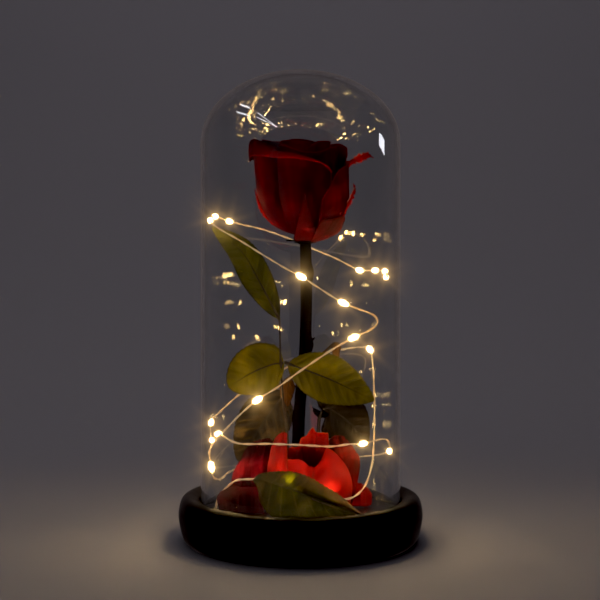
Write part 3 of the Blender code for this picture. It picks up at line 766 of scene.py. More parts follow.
def ease(value, start, end):
    """Rises smoothly from 0 to 1 between start and end."""
    t = min(1, max(0, (value - start) / (end - start)))
    return t * t * (3 - 2 * t)


def through(values, share):
    """The value at a share of the way along a smooth curve through evenly spaced values."""
    at = share * (len(values) - 1)
    i = min(int(at), len(values) - 2)
    before, after = values[max(i - 1, 0)], values[min(i + 2, len(values) - 1)]
    return curve_between(before, values[i], values[i + 1], after, at - i)


def cup_point(direction, reach, layer, lift=0.0):
    """The point at a reach along the cup's outline, a layer inside its face and lifted off that layer."""
    radius, depth = CUP_RADIUS - layer, CUP_DEPTH - layer
    mean = (radius + depth) / 2
    quarter = mean * math.pi / 2
    if reach < quarter:
        r = radius * math.sin(reach / mean) ** CUP_FULLNESS
        z = CUP_DEPTH - depth * math.cos(reach / mean)
        r += lift * math.sin(reach / mean)
        z -= lift * math.cos(reach / mean)
    else:
        r = radius + CUP_FLARE * (reach - quarter) + lift
        z = CUP_DEPTH + reach - quarter
    x = r * math.cos(direction) + BLOOM_X + BLOOM_LEAN * z
    return Vector((x, r * math.sin(direction), BLOOM_Z + z))


def cup_reach(height, layer):
    """How far along the cup's outline a point at this height above the bloom's foot is."""
    mean = (CUP_RADIUS + CUP_DEPTH) / 2 - layer
    if height > CUP_DEPTH:
        return mean * math.pi / 2 + height - CUP_DEPTH
    return mean * math.acos((CUP_DEPTH - height) / (CUP_DEPTH - layer))


def foot_reach(layer):
    """How far along the cup's outline the petals' narrow feet start."""
    mean = (CUP_RADIUS + CUP_DEPTH) / 2 - layer
    return mean * math.asin(PETAL_FOOT_RADIUS / (CUP_RADIUS - layer))


def fold_depth(way, layer):
    """How far the bloom's folds press a layer inwards in this direction."""
    depth = 0
    for fold_way, fold_width, fold in BLOOM_FOLDS:
        aside = (way - fold_way + 180) % 360 - 180
        depth += fold * math.exp(-((aside / fold_width) ** 2))
    return depth * (1 - max(0, layer) / DEEPEST_FOLD_LAYER)


def petal_point(layer, direction, half_width, rims, angles, bends, lengths, across, up):
    """A petal of the bloom: narrow at its foot, wide from the middle up, with a rim that rolls outwards."""
    seed = Vector((direction * 0.37, layer * 1.9, 0))
    side = (across + 1) / 2
    angle = math.radians(through(angles, side))
    angle *= 1 + ROLL_UNEVENNESS * noise.noise(seed + Vector((across * 2, 0, 5)))
    bend = through(bends, side)
    length = through(lengths, side) * (1 + LENGTH_UNEVENNESS * noise.noise(seed + Vector((across * 3, 2, 5))))
    length *= 1 - ROLL_ROUNDING * ease(abs(across), EDGE_FROM, 1)
    angle = min(angle, length / bend)
    height = through(rims, side) - CORNER_DROP * across**8 - bend * math.sin(min(angle, math.pi / 2))
    height += RIM_WAVE * noise.noise(seed + Vector((across * 3, 0, 0)))
    low = foot_reach(layer)
    on_wall = min(1, up / (1 - ROLL_ROWS))
    on_roll = max(0, (up - 1 + ROLL_ROWS) / ROLL_ROWS)
    reach = low + (cup_reach(height, layer) - low) * on_wall
    share = (1 - ROLL_SHARE) * on_wall + ROLL_SHARE * on_roll
    widened = math.sin(min(1, share / PETAL_SHOULDER) * math.pi / 2)
    way = direction + half_width * across * (PETAL_WAIST + (1 - PETAL_WAIST) * widened)
    lift = CRUMPLE * noise.noise(Vector((way / 7, on_wall * 1.5, layer * 3.7))) * ease(share, 0.1, 0.5)
    lift += 0.5 * CRUMPLE * noise.noise(Vector((way / 2.5, on_wall * 4, layer * 5.1))) * ease(share, 0.3, 0.9)
    lift += EDGE_LIFT * ease(abs(across), EDGE_FROM, 1) * ease(share, 0.35, 0.8)
    lift -= fold_depth(way, layer) * ease(share, 0.1, 0.42)
    point = cup_point(math.radians(way), reach, layer, lift)
    outward = Vector((math.cos(math.radians(way)), math.sin(math.radians(way)), 0))
    turn = min(angle, on_roll * length / bend)
    beyond = max(0, on_roll * length - angle * bend)
    rise = bend * math.sin(turn) + beyond * math.cos(angle)
    out = bend * (1 - math.cos(turn)) + beyond * math.sin(angle)
    return point + UP * rise + outward * out


def heart_point(across, up):
    """One narrow petal rolled up on itself in the middle of the bloom."""
    turn = (across + 1) / 2 * HEART_TURNS * math.tau
    radius = CUP_RADIUS - HEART_LAYER - HEART_WINDING * (across + 1) / 2
    low = BLOOM_Z + HEART_FOOT
    rim = HEART_HEIGHT + HEART_RIM_WAVE * noise.noise(Vector((turn, 3, 0)))
    z = low + (BLOOM_Z + rim - low) * up
    radius *= 1 - 0.12 * ease(up, 0.5, 1) + 0.06 * math.sin(2 * turn)
    x = BLOOM_X + BLOOM_LEAN * (z - BLOOM_Z)
    return Vector((x + radius * math.cos(turn), radius * math.sin(turn), z))


def walled(piece, wall=PETAL_WALL):
    """Gives a sheet its thickness, to both sides."""
    apply_modifier(piece, "SOLIDIFY", thickness=wall * MM, offset=0.0)
    return piece


def shine_through(tree, shader, glow, share):
    """Lets a share of the light through a thin petal or leaf, in the colour that its flesh gives it."""
    shining = add(tree, "ShaderNodeBsdfTranslucent", {"Color": srgb(glow)})
    surface = tree.nodes["Material Output"].inputs["Surface"]
    add(tree, "ShaderNodeMixShader", {0: share, 1: shader.outputs[0], 2: shining.outputs[0]}, feeds=surface)


# A petal of the bloom is about this wide and long, and its veins lie this far apart and run this far. Its
# cells are too fine to see, and are drawn as coarse as they need to be to break up its shine.
PETAL_WIDTH = 51.0
PETAL_LENGTH = 57.2
PETAL_VEIN_SPACING = 1.5
PETAL_VEIN_LENGTH = 26.0
PETAL_BLOTCH = 10.53
PETAL_CELL = 0.6667


def velvet_finish(
    name, colours, glow, share_through, rim_start=0.98, rim_from=0.0, bands=None, gloss=0.03, edge_from=0.48
):
    """Preserved petal: a velvety skin over thin flesh. Fine veins fan out from the foot, and the rim is
    paler.

    Colours are its shade, its body, its bright parts and its rim, which is partly a pale dried edge and
    partly a painted highlight. The rim's colour starts at rim_start of the way up and edge_from of the width
    to both sides of the middle, and only beyond rim_from of the way across. Bands are painted shade, which
    darkens the petal from its foot to its rim.
    """
    shade, body, bright, rim = map(srgb, colours)
    material, tree, shader = new_finish(
        name, Roughness=0.6, Sheen_Weight=0.012, Sheen_Roughness=0.4, Sheen_Tint=srgb("#C04868")
    )
    shader.inputs["Specular IOR Level"].default_value = gloss
    place = add(tree, "ShaderNodeTexCoord")
    uv = add(tree, "ShaderNodeSeparateXYZ", {0: place.outputs["UV"]})
    vein_counts = (PETAL_WIDTH / PETAL_VEIN_SPACING, PETAL_LENGTH / PETAL_VEIN_LENGTH, 1)
    fan = add(tree, "ShaderNodeMapping", {"Vector": place.outputs["UV"], "Scale": vein_counts})
    veins = add(tree, "ShaderNodeTexNoise", {"Vector": fan.outputs[0], "Scale": 1.0, "Detail": 3.0})
    blotches = add(
        tree,
        "ShaderNodeTexNoise",
        {"Vector": place.outputs["Object"], "Scale": pattern_scale(PETAL_BLOTCH), "Detail": 3.0},
    )
    mottled = add(
        tree,
        "ShaderNodeMath",
        {0: veins.outputs["Fac"], 1: 0.45, 2: blotches.outputs["Fac"]},
        operation="MULTIPLY_ADD",
    )
    stops = [(0.56, shade), (0.72, body), (0.88, bright)]
    tint = add(tree, "ShaderNodeValToRGB", {"Fac": mottled.outputs[0]}, stops)
    # The rim's colour is partly a pale dried edge and partly a painted highlight
    from_middle = add(tree, "ShaderNodeMath", {0: uv.outputs["X"], 1: 0.5}, operation="SUBTRACT")
    aside = add(tree, "ShaderNodeMath", {0: from_middle.outputs[0]}, operation="ABSOLUTE")
    edge_side = add(
        tree, "ShaderNodeMapRange", {"Value": aside.outputs[0], "From Min": edge_from, "From Max": 0.5}
    )
    edge_top = add(
        tree, "ShaderNodeMapRange", {"Value": uv.outputs["Y"], "From Min": rim_start, "From Max": 1.0}
    )
    edge = add(
        tree, "ShaderNodeMath", {0: edge_side.outputs[0], 1: edge_top.outputs[0]}, operation="MAXIMUM"
    )
    rim_side = add(
        tree,
        "ShaderNodeMapRange",
        {"Value": uv.outputs["X"], "From Min": rim_from, "From Max": rim_from + 0.12},
    )
    edge = add(tree, "ShaderNodeMath", {0: edge.outputs[0], 1: rim_side.outputs[0]}, operation="MULTIPLY")
    colour_inputs = {"Fac": edge.outputs[0], "Color1": tint.outputs["Color"], "Color2": rim}
    colour = add(tree, "ShaderNodeMixRGB", colour_inputs)
    # Painted shade: the bands darken the colour from the petal's foot to its rim
    if bands:
        stops = [(up, (share, share, share, 1)) for up, share in bands]
        dimmer = add(tree, "ShaderNodeValToRGB", {"Fac": uv.outputs["Y"]}, stops)
        colour = add(
            tree,
            "ShaderNodeMixRGB",
            {"Fac": 1.0, "Color1": colour.outputs[0], "Color2": dimmer.outputs["Color"]},
            blend_type="MULTIPLY",
        )
    tree.links.new(colour.outputs[0], shader.inputs["Base Color"])
    cells = add(
        tree,
        "ShaderNodeTexNoise",
        {"Vector": place.outputs["Object"], "Scale": pattern_scale(PETAL_CELL), "Detail": 2.0},
    )
    relief = add(
        tree,
        "ShaderNodeMath",
        {0: cells.outputs["Fac"], 1: 0.3, 2: veins.outputs["Fac"]},
        operation="MULTIPLY_ADD",
    )
    add(
        tree,
        "ShaderNodeBump",
        {"Height": relief.outputs[0], "Strength": 0.6, "Distance": 0.4 * MM},
        feeds=shader.inputs["Normal"],
    )
    shine_through(tree, shader, glow, share_through)
    return material


# A petal's rim colour is partly a pale dried edge and partly a painted highlight
VELVET = ("#3C0208", "#5A040C", "#80080C", "#A01C14")
# The front petal's rolled rim is painted as a bright band, a highlight where the light catches it
VELVET_PAINTED_BAND = (*VELVET[:3], "#D01810")
velvet = velvet_finish("preserved petal velvet", VELVET, "#B00804", 0.18)
velvet_painted_band = velvet_finish(
    "preserved petal velvet, painted band on rolled rim", VELVET_PAINTED_BAND, "#B00804", 0.18, rim_start=0.86, rim_from=0.28
)
bloom = {}
for index, (name, *shape) in enumerate(BLOOM_PETALS):
    point_at = partial(petal_point, index * PETAL_SPACING, *shape)
    bloom[name] = walled(grid_piece(f"bloom_{name}", PETAL_GRID, PETAL_GRID, point_at))
    bloom[name].data.materials.append(velvet_painted_band if name == "petal_front" else velvet)
heart = walled(grid_piece("bloom_heart_roll", *HEART_GRID, heart_point))
fit(heart, velvet, "petal", "petal_heart_rolled")

# Outer petals that have dried: a guard petal that still hugs the front of the cup and runs up to a point, two
# that have shrunk to twisted claws, and the thin torn edges that stand off the cup low down on both sides.
DRIED_LAYER = -1.3
GUARD_DIRECTION = -88
GUARD_HALF_WIDTH = 6.4
GUARD_HEIGHT = 19.5
GUARD_BULGE = 0.8
GUARD_RIPPLE = 0.35
GUARD_GRID = (24, 50)
# What is left of a low petal on the right, in the terms of BLOOM_PETALS
LOW_PETAL = (-40, 32, (7.6, 9.0, 9.6, 11.0, 9.0), (40, 40), (1.5, 1.5), (1.0, 1.0))
LOW_PETAL_GRID = (40, 30)

# Strips of dried petal: the line each follows, its half width along that line, and its twist (degrees)
UPPER_CLAW = (
    (
        (20.4, -6.5, 182.4), (22.6, -5.4, 184.0), (25.2, -4.2, 185.6), (27.8, -3, 187.2),
        (30.6, -2, 188.6), (33.6, -1, 189.1), (36.3, 0, 188.2),
    ),
    (0.5, 1.3, 1.2, 1.7, 1.8, 1.2, 0.15),
    (30, -25, -10, 15, -20, -50),
)
LOWER_CLAW = (
    (
        (17.6, -9.2, 156.0), (20.0, -8.2, 160.0), (22.2, -7.6, 163.8), (24.0, -7.2, 167.2),
        (25.6, -6.8, 170.4), (26.3, -6.5, 172.8), (25.7, -6.2, 175),
    ),
    (1.4, 1.6, 1.3, 1.2, 1.2, 0.8, 0.15),
    (10, 30, 10, 40, 15, 40),
)
RIGHT_EDGE = (
    ((11.8, -6.5, 148.9), (15.0, -6.6, 151.2), (18.0, -6.8, 154.6), (20.2, -6.8, 158.2), (21.8, -6.6, 162.2)),
    (0.2, 0.9, 0.7, 0.9, 0.1),
    (20, 50, 35, 60),
)
LEFT_EDGE = (
    ((-13.4, -7.4, 154.4), (-17.4, -6.8, 159.2), (-20.2, -5.8, 164.4), (-22.6, -4, 172.5)),
    (0.1, 0.6, 0.5, 0.1),
    (20, 45, 30, 55),
)
STRIP_GRID = (10, 70)
STRIP_STEP = 0.3
STRIP_HOLLOW = 0.5
STRIP_RIPPLE = 0.15
EDGE_RAGGEDNESS = 0.9
TEARS = 20


def guard_point(across, up):
    """The guard petal hugs the cup, wide at its foot and pointed at its top."""
    low, high = foot_reach(DRIED_LAYER), cup_reach(GUARD_HEIGHT, DRIED_LAYER)
    reach = low + (high - low) * up
    girth = (cup_point(0, reach, DRIED_LAYER) - cup_point(math.pi, reach, DRIED_LAYER)).length / 2
    aside = GUARD_HALF_WIDTH * max(0.02, 1 - up**1.4) * across
    ripple = GUARD_RIPPLE * noise.noise(Vector((across * 2, up * 5, 8)))
    ripple -= GUARD_BULGE * (1 - across * across) * math.sin(math.pi * up)
    way = math.radians(GUARD_DIRECTION) + aside / girth
    return cup_point(way, reach, DRIED_LAYER + 0.5 + 0.5 * ripple)


def strip_point(line, widths, twists, across, up):
    """A twisted strip of dried petal with ragged edges, hollow along its middle."""
    centre, forward = along(line, up)
    side = (UP - forward * forward.z).normalized()
    angle = math.radians(through(twists, up))
    side = side * math.cos(angle) + forward.cross(side) * math.sin(angle)
    face = forward.cross(side)
    ragged = 1 + EDGE_RAGGEDNESS * noise.noise(Vector((up * TEARS, math.copysign(3, across), centre.z)))
    width = max(0.05, through(widths, up)) * ragged
    hollow = STRIP_HOLLOW * across * across * width + STRIP_RIPPLE * noise.noise(centre * 1.5)
    return centre + side * across * width + face * hollow


def strip(name, line, widths, twists):
    point_at = partial(strip_point, smooth_path(line, STRIP_STEP), widths, twists)
    return walled(grid_piece(name, *STRIP_GRID, point_at))


# A petal's torn edge has dried thin and bright red, and its pale colours are also a painted highlight where
# the light catches it. The guard petal has dried whole, to a dull dark red.
DRIED_EDGE_WITH_HIGHLIGHT = ("#8C100E", "#C02018", "#E04834", "#FFC4B0")
DRIED_GUARD = ("#300305", "#4A0608", "#660A0A", "#8A2C20")
dried = velvet_finish("dried petal edge, painted highlight", DRIED_EDGE_WITH_HIGHLIGHT, "#FF4020", 0.4)
guard_finish = velvet_finish("dried guard petal", DRIED_GUARD, "#901008", 0.1)
guard = walled(grid_piece("bloom_petal_guard", *GUARD_GRID, guard_point))
fit(guard, guard_finish, "petal", "petal_guard")
upper_claw = strip("bloom_petal_claw_upper", *UPPER_CLAW)
fit(upper_claw, dried, "petal", "petal_claw_upper")
low_petal_at = partial(petal_point, DRIED_LAYER, *LOW_PETAL)
low_petal = walled(grid_piece("bloom_petal_claw_lower", *LOW_PETAL_GRID, low_petal_at))
low_petal.data.materials.append(guard_finish)
for shape in (LOWER_CLAW, RIGHT_EDGE):
    torn = strip("torn_edge", *shape)
    torn.data.materials.append(dried)
    low_petal = join([low_petal, torn])
fit(low_petal, None, "petal", "petal_claw_lower")
left_edge = strip("torn_edge", *LEFT_EDGE)
left_edge.data.materials.append(dried)
bloom["petal_left"] = join([bloom["petal_left"], left_edge])
for name, piece in bloom.items():
    fit(piece, None, "petal", name)

# Receptacle: the swollen end of the stem that the petals grow from, with the shrivelled stumps of its sepals.
# It has dried as dark as the bark, and the foot of every petal sits on it.
RECEPTACLE_RADIUS = 2.8
RECEPTACLE_TOP = BLOOM_Z + HEART_LAYER
RECEPTACLE_STEPS = 32
COLLAR_RADIUS = 3.5

# Stumps of sepals: direction (degrees), how far out along the cup they reach, and half width (degrees)
SEPALS = ((196, 8.2, 36), (262, 4.6, 24), (330, 4.6, 28), (48, 6.4, 32), (128, 5.6, 34))
SEPAL_FOOT = 2.6
SEPAL_DROOP = 0.9
SEPAL_GRID = (10, 12)


def sepal_point(direction, length, half_width, across, up):
    """A stump lies against the cup from underneath, narrows and curls away towards its tip."""
    layer = -0.75 - 0.25 * abs(across)
    reach = SEPAL_FOOT + (length - SEPAL_FOOT) * up
    width = half_width * (1 - 0.75 * up**1.5)
    droop = SEPAL_DROOP * ease(up, 0.4, 1) + 0.35 * noise.noise(Vector((direction, up * 3, across * 2)))
    return cup_point(math.radians(direction + width * across), reach, layer) - UP * droop


receptacle = lathe(
    "swollen_stem_end",
    [
        (0, RECEPTACLE_TOP + 3),
        (RECEPTACLE_RADIUS * 0.45, RECEPTACLE_TOP + 2.7),
        (RECEPTACLE_RADIUS * 0.8, RECEPTACLE_TOP + 1.8),
        (RECEPTACLE_RADIUS, RECEPTACLE_TOP - 1),
        (RECEPTACLE_RADIUS, BLOOM_Z - 0.6),
        (COLLAR_RADIUS, BLOOM_Z - 1.0),
        (COLLAR_RADIUS, BLOOM_Z - 1.4),
        (COLLAR_RADIUS - 0.5, BLOOM_Z - 2.0),
        (0, BLOOM_Z - 2.2),
    ],
    RECEPTACLE_STEPS,
)
for vertex in receptacle.data.vertices:
    vertex.co.x += BLOOM_X * MM
stumps = [walled(grid_piece("sepal", *SEPAL_GRID, partial(sepal_point, *shape))) for shape in SEPALS]
receptacle = join([receptacle, *stumps])
fit(receptacle, bark, "bark", "receptacle")

# Leaves: real rose leaves, preserved with the flower, leathery and olive going brown at their edges. Each
# blade has a toothed edge, a rib that stands proud below it, and side veins pressed into its face.
LEAF_WALL = 0.3
STALK_HALF_WIDTH = 0.8
TOOTH_PITCH = 2.1
TOOTH_HEIGHT = 0.55
VEIN_PITCH = 5.2
VEIN_DEPTH = 0.4
VEIN_SLANT = 0.9
VEIN_HALF_WIDTH = 0.16
EDGE_WAVE = 0.7
RIB_RADIUS = 0.4
SMALL_LEAF = 5.0
BLADE_COLUMNS = 28
ROWS_PER_TOOTH = 6
RIB_GRID = (10, 60)

# Name, midrib points, direction across the blade, then its half width, the share of the midrib that is bare
# stalk, the fold of the two halves, the extra fold towards the tip and the bluntness, which goes from 1.2 for
# a pointed leaf to 0.5 for a round one, and last the leaf's finish
LEAVES = (
    (
        "leaflet_end",
        ((-10.3, -10, 108.6), (-20.5, -8, 128), (-29, -4, 141.8), (-44.3, 1.5, 154.3)),
        (0.8, -0.3, 0.6),
        (7.4, 0.02, 0.12, 0.1, 0.85),
        "olive",
    ),
    (
        "leaflet_left",
        ((-8.2, -11, 87.4), (-14, -12.6, 86.8), (-23.9, -15, 82.8), (-34.2, -17, 76.4)),
        (-0.36, 0.1, 0.9),
        (11.9, 0.0, 0.10, 0.0, 0.56),
        "golden",
    ),
    (
        "leaflet_right",
        ((-7.9, -12.8, 88), (13, -18, 80.5), (34.4, -22, 70.5)),
        (0.38, 0.1, 0.92),
        (11.0, 0.05, 0.10, 0.0, 0.8),
        "golden",
    ),
    (
        "leaf_rear_left",
        ((-2.7, 3.1, 75.4), (-8, 7.5, 71), (-19, 8, 56), (-31.5, 6, 37.5)),
        (-0.75, 0.1, 0.62),
        (12.6, 0.16, 0.12, 0.1, 0.7),
        "brown",
    ),
    (
        "leaf_rear_right",
        ((2.4, 2.8, 38), (8.2, 6, 50), (9.8, 7, 60), (14, 8.5, 63.5), (25, 11.5, 56), (34.6, 14, 43.5)),
        (0.5, 0.1, 0.8),
        (12.4, 0.38, 0.12, 0.1, 0.9),
        "dark",
    ),
    (
        "leaf_small_left",
        ((-3.3, -0.5, 82.8), (-5.6, 0, 78.5), (-6.6, 0.2, 72), (-6.4, 0, 65.5)),
        (1, 0.2, 0),
        (3.0, 0.2, 0.2, 0.2, 0.85),
        "withered",
    ),
    (
        "leaf_small_right",
        ((5.7, 1.9, 88), (12, 4, 92.5), (17.2, 5, 96.8), (19, 5, 93.5), (18.4, 5, 87.5)),
        (0.6, 0.7, 0),
        (3.0, 0.55, 0.3, 0.3, 0.85),
        "withered",
    ),
)


def leaf_point(path, length, across_way, half_width, bare, fold, tip_fold, bluntness, across, up):
    """A blade along its midrib, widest before the middle, with its halves folded up a little."""
    centre, forward = along(path, up)
    side = (across_way - forward * forward.dot(across_way)).normalized()
    blade = max(0, (up - bare) / (1 - bare))
    outline = half_width * math.sin(math.pi * blade**0.85) ** bluntness
    teeth = (blade * length * (1 - bare) / TOOTH_PITCH) % 1
    toothed = TOOTH_HEIGHT * (teeth - 0.4) * ease(abs(across), 0.8, 1) * ease(outline, 0.5, 4)
    width = STALK_HALF_WIDTH * (1 - 0.6 * blade) + outline + toothed
    far = abs(across) * width
    vein = (blade * length * (1 - bare) - VEIN_SLANT * far) / VEIN_PITCH % 1
    dent = math.exp(-(((vein - 0.5) / VEIN_HALF_WIDTH) ** 2))
    dent *= ease(far, 0.3, 1.5) * (1 - ease(abs(across), 0.75, 1))
    face = side.cross(forward)
    wave = EDGE_WAVE * noise.noise(Vector((blade * 4, half_width, math.copysign(5, across)))) * across**2
    rise = far * (fold + tip_fold * blade) + wave - VEIN_DEPTH * dent
    return centre + side * across * width + face * rise


# A leaflet is about this long, and a side vein runs on this far towards its tip between the rib and the edge
LEAF_LENGTH = 46.8
VEIN_RISE = 9.36
LEAF_BLOTCH = 7.692
STALK_BLOTCH = 4.545

# The finest veins make a mesh that is really smaller than this, and is drawn as coarse as it needs to show
LEAF_VEIN_MESH = 1.111


def leaf_finish(name, shade, body, light, rib, glow, share_through=0.3, withered=None):
    """Preserved leaf: a waxy skin with pale side veins, darker between them, that browns towards the edge.

    Withered colours the upper half of a leaf that has dried further, towards its tip.
    """
    material, tree, shader = new_finish(name, Roughness=0.42, Specular_IOR_Level=0.15)
    place = add(tree, "ShaderNodeTexCoord")
    uv = add(tree, "ShaderNodeSeparateXYZ", {0: place.outputs["UV"]})
    from_middle = add(tree, "ShaderNodeMath", {0: uv.outputs["X"], 1: 0.5}, operation="SUBTRACT")
    aside = add(tree, "ShaderNodeMath", {0: from_middle.outputs[0]}, operation="ABSOLUTE")
    slanted = add(
        tree,
        "ShaderNodeMath",
        {0: aside.outputs[0], 1: -VEIN_RISE * 2 / VEIN_PITCH, 2: 0.5},
        operation="MULTIPLY_ADD",
    )
    veined = add(
        tree,
        "ShaderNodeMath",
        {0: uv.outputs["Y"], 1: LEAF_LENGTH / VEIN_PITCH, 2: slanted.outputs[0]},
        operation="MULTIPLY_ADD",
    )
    saw = add(tree, "ShaderNodeMath", {0: veined.outputs[0], 1: 0.5}, operation="PINGPONG")
    vein = add(
        tree,
        "ShaderNodeMapRange",
        {"Value": saw.outputs[0], "From Min": 0.0, "From Max": 0.09, "To Min": 1.0, "To Max": 0.0},
    )
    blotches = add(
        tree,
        "ShaderNodeTexNoise",
        {"Vector": place.outputs["Object"], "Scale": pattern_scale(LEAF_BLOTCH), "Detail": 5.0},
    )
    stops = [(0.38, srgb(shade)), (0.52, srgb(body)), (0.66, srgb(light))]
    tint = add(tree, "ShaderNodeValToRGB", {"Fac": blotches.outputs["Fac"]}, stops)
    faint = add(tree, "ShaderNodeMath", {0: vein.outputs[0], 1: 0.85}, operation="MULTIPLY")
    with_veins = add(
        tree,
        "ShaderNodeMixRGB",
        {"Fac": faint.outputs[0], "Color1": tint.outputs["Color"], "Color2": srgb(light)},
    )
    browned = add(
        tree,
        "ShaderNodeMapRange",
        {"Value": aside.outputs[0], "From Min": 0.44, "From Max": 0.5, "To Min": 0.0, "To Max": 0.75},
    )
    edged = add(
        tree,
        "ShaderNodeMixRGB",
        {"Fac": browned.outputs[0], "Color1": with_veins.outputs[0], "Color2": srgb(rib)},
    )
    middle = add(
        tree,
        "ShaderNodeMapRange",
        {"Value": aside.outputs[0], "From Min": 0.012, "From Max": 0.03, "To Min": 0.8, "To Max": 0.0},
    )
    ribbed = add(
        tree,
        "ShaderNodeMixRGB",
        {"Fac": middle.outputs[0], "Color1": edged.outputs[0], "Color2": srgb(rib)},
    )
    if withered:
        along_leaf = add(
            tree, "ShaderNodeMapRange", {"Value": uv.outputs["Y"], "From Min": 0.42, "From Max": 0.85}
        )
        upper_half = add(
            tree, "ShaderNodeMapRange", {"Value": uv.outputs["X"], "From Min": 0.5, "From Max": 0.62}
        )
        share = add(
            tree, "ShaderNodeMath", {0: along_leaf.outputs[0], 1: upper_half.outputs[0]}, operation="MULTIPLY"
        )
        ribbed = add(
            tree,
            "ShaderNodeMixRGB",
            {"Fac": share.outputs[0], "Color1": ribbed.outputs[0], "Color2": srgb(withered)},
        )
    tree.links.new(ribbed.outputs[0], shader.inputs["Base Color"])
    net = add(
        tree,
        "ShaderNodeTexVoronoi",
        {"Vector": place.outputs["Object"], "Scale": pattern_scale(LEAF_VEIN_MESH)},
        feature="DISTANCE_TO_EDGE",
    )
    add(
        tree,
        "ShaderNodeBump",
        {"Height": net.outputs["Distance"], "Strength": 0.25, "Distance": 0.3 * MM},
        feeds=shader.inputs["Normal"],
    )
    shine_through(tree, shader, glow, share_through)
    return material


LEAF_FINISHES = {
    "olive": leaf_finish(
        "preserved leaf, olive", "#343804", "#505206", "#6C6812", "#1A1606", "#9CA010"
    ),
    "golden": leaf_finish(
        "preserved leaf, golden olive", "#464402", "#646002", "#8A8010", "#1C160A", "#BCB408"
    ),
    "brown": leaf_finish(
        "preserved leaf, brown olive", "#140E02", "#201602", "#665222", "#0C0802", "#4C3800"
    ),
    "dark": leaf_finish(
        "preserved leaf, dark", "#0E0A04", "#181206", "#30240F", "#0A0602", "#302404"
    ),
    "withered": leaf_finish(
        "withered leaf", "#4A2C08", "#744A10", "#946E22", "#241408", "#A87018"
    ),
    "dusky": leaf_finish(
        "preserved leaf, dusky", "#10120A", "#1E1E0C", "#6E6230", "#0E0C06", "#D8E000", 0.19, "#6C4E2C"
    ),
}

# A dried leaf stalk is dark brown and a little blotchy, with hardly any shine
rib_finish, tree, shader = new_finish("dried leaf stalk", Roughness=0.55)
mottle(tree, shader, STALK_BLOTCH, 4.0, [(0.35, "#1C140A"), (0.65, "#3A2C14")])


def rib_radius(thick, bare, centre, angle, up):
    """Stalk as far as the blade, and then a rib that runs out to nearly nothing."""
    return thick * (1 - 0.45 * ease(up, bare, bare + 0.12)) * (1 - 0.75 * ease(up, bare, 1))


for name, midrib, across_way, shape, finish_name in LEAVES:
    path = smooth_path(midrib)
    length = sum((b - a).length for a, b in zip(path, path[1:]))
    point_at = partial(leaf_point, path, length, Vector(across_way), *shape)
    rows = round(length / TOOTH_PITCH * ROWS_PER_TOOTH)
    blade = walled(grid_piece(f"blade_{name}", BLADE_COLUMNS, rows, point_at), LEAF_WALL)
    blade.data.materials.append(LEAF_FINISHES[finish_name])
    half_width, bare = shape[:2]
    thick = STALK_HALF_WIDTH if half_width > SMALL_LEAF else RIB_RADIUS
    rib_at = partial(tube_point, path, partial(rib_radius, thick, bare))
    rib = close_seams(grid_piece("rib", *RIB_GRID, rib_at))
    rib.data.materials.append(rib_finish)
    fit(join([blade, rib]), None, "leaf", name)

# Loose leaf: a fallen leaf that leans on the petals at the front, with its lower edge on the floor. Its upper
# half has dried into a bulge that hangs over the rib towards the right tip, and a light shines through it.
FRONT_LEAF_LENGTH = 56.0
FRONT_LEAF_RIB = 0.45
FRONT_RIB_SINK = 0.25
FRONT_LEAF_GRID = (36, 160)
RIB_STREAK = 2.0

# The photograph is this many pixels wide, and the bell's axis and the camera's height lie here in it
PICTURE_WIDTH = 600
AXIS_COLUMN = 300.6
LEVEL_ROW = 300.0
SENSOR_WIDTH = 36.0

# The leaf's points were picked in the photograph: column and row (pixels), and a judged depth behind the
# bell's axis (mm). The rows run from the left tip to the right one, each from the lower edge over the rib
# and the hollow above it to the upper edge.
LEFT_TIP = (253.5, 480, -33.0)
RIGHT_TIP = (361.5, 515, -35.5)
FRONT_LEAF = (
    (LEFT_TIP, LEFT_TIP, (253.5, 479.9, -33), (253.5, 479.8, -33), (253.5, 479.6, -33), (253.5, 479.5, -33)),
    (
        (258, 487, -35.5), (262, 484, -36), (265, 481.5, -36.2),
        (264.5, 479.5, -35.8), (262, 477, -34.5), (260, 474, -32),
    ),
    (
        (262, 503, -39.5), (270, 494, -39.5), (279, 486.5, -38.4),
        (279, 484, -37), (277, 478.5, -34.6), (274, 471.5, -31.5),
    ),
    (
        (275, 516.5, -42.5), (285, 504, -41.5), (293, 491.5, -38.5),
        (293, 488.5, -36.8), (291.5, 480, -33.7), (291, 471.5, -30.5),
    ),
    (
        (300, 518, -43.4), (306, 508, -41.5), (311, 497.5, -38.8),
        (311, 494.5, -35.5), (310, 488.5, -38.5), (307, 476, -31.5),
    ),
    (
        (323, 518, -43), (326, 512, -41), (329, 504, -39.2),
        (329, 501.5, -35.5), (327.5, 497.5, -41), (324, 485, -32),
    ),
    (
        (344, 517, -41), (344, 514, -39.5), (345, 510, -38),
        (345, 508, -35.8), (344.5, 504.5, -40), (341, 495.5, -33.5),
    ),
    (
        RIGHT_TIP, RIGHT_TIP, (361.5, 514.8, -35.5),
        (361.5, 514.6, -35.5), (361.5, 514.5, -35.5), (361.5, 514.3, -35.5),
    ),
)


def picked(column, row, depth):
    """The place (mm, to a tenth) of a point picked in the photograph, seen through the fitted camera."""
    far = depth - CAMERA_PLACE.y
    focus = LENS / SENSOR_WIDTH * PICTURE_WIDTH
    x = (column - AXIS_COLUMN) * far / focus
    z = CAMERA_PLACE.z + (LEVEL_ROW - row) * far / focus
    return Vector((round(x, 1), round(depth, 1), round(z, 1)))


def net_point(net, across, up):
    """A point on the smooth sheet through rows of points, the first row at its foot."""
    return through([through(row, (across + 1) / 2) for row in net], up)


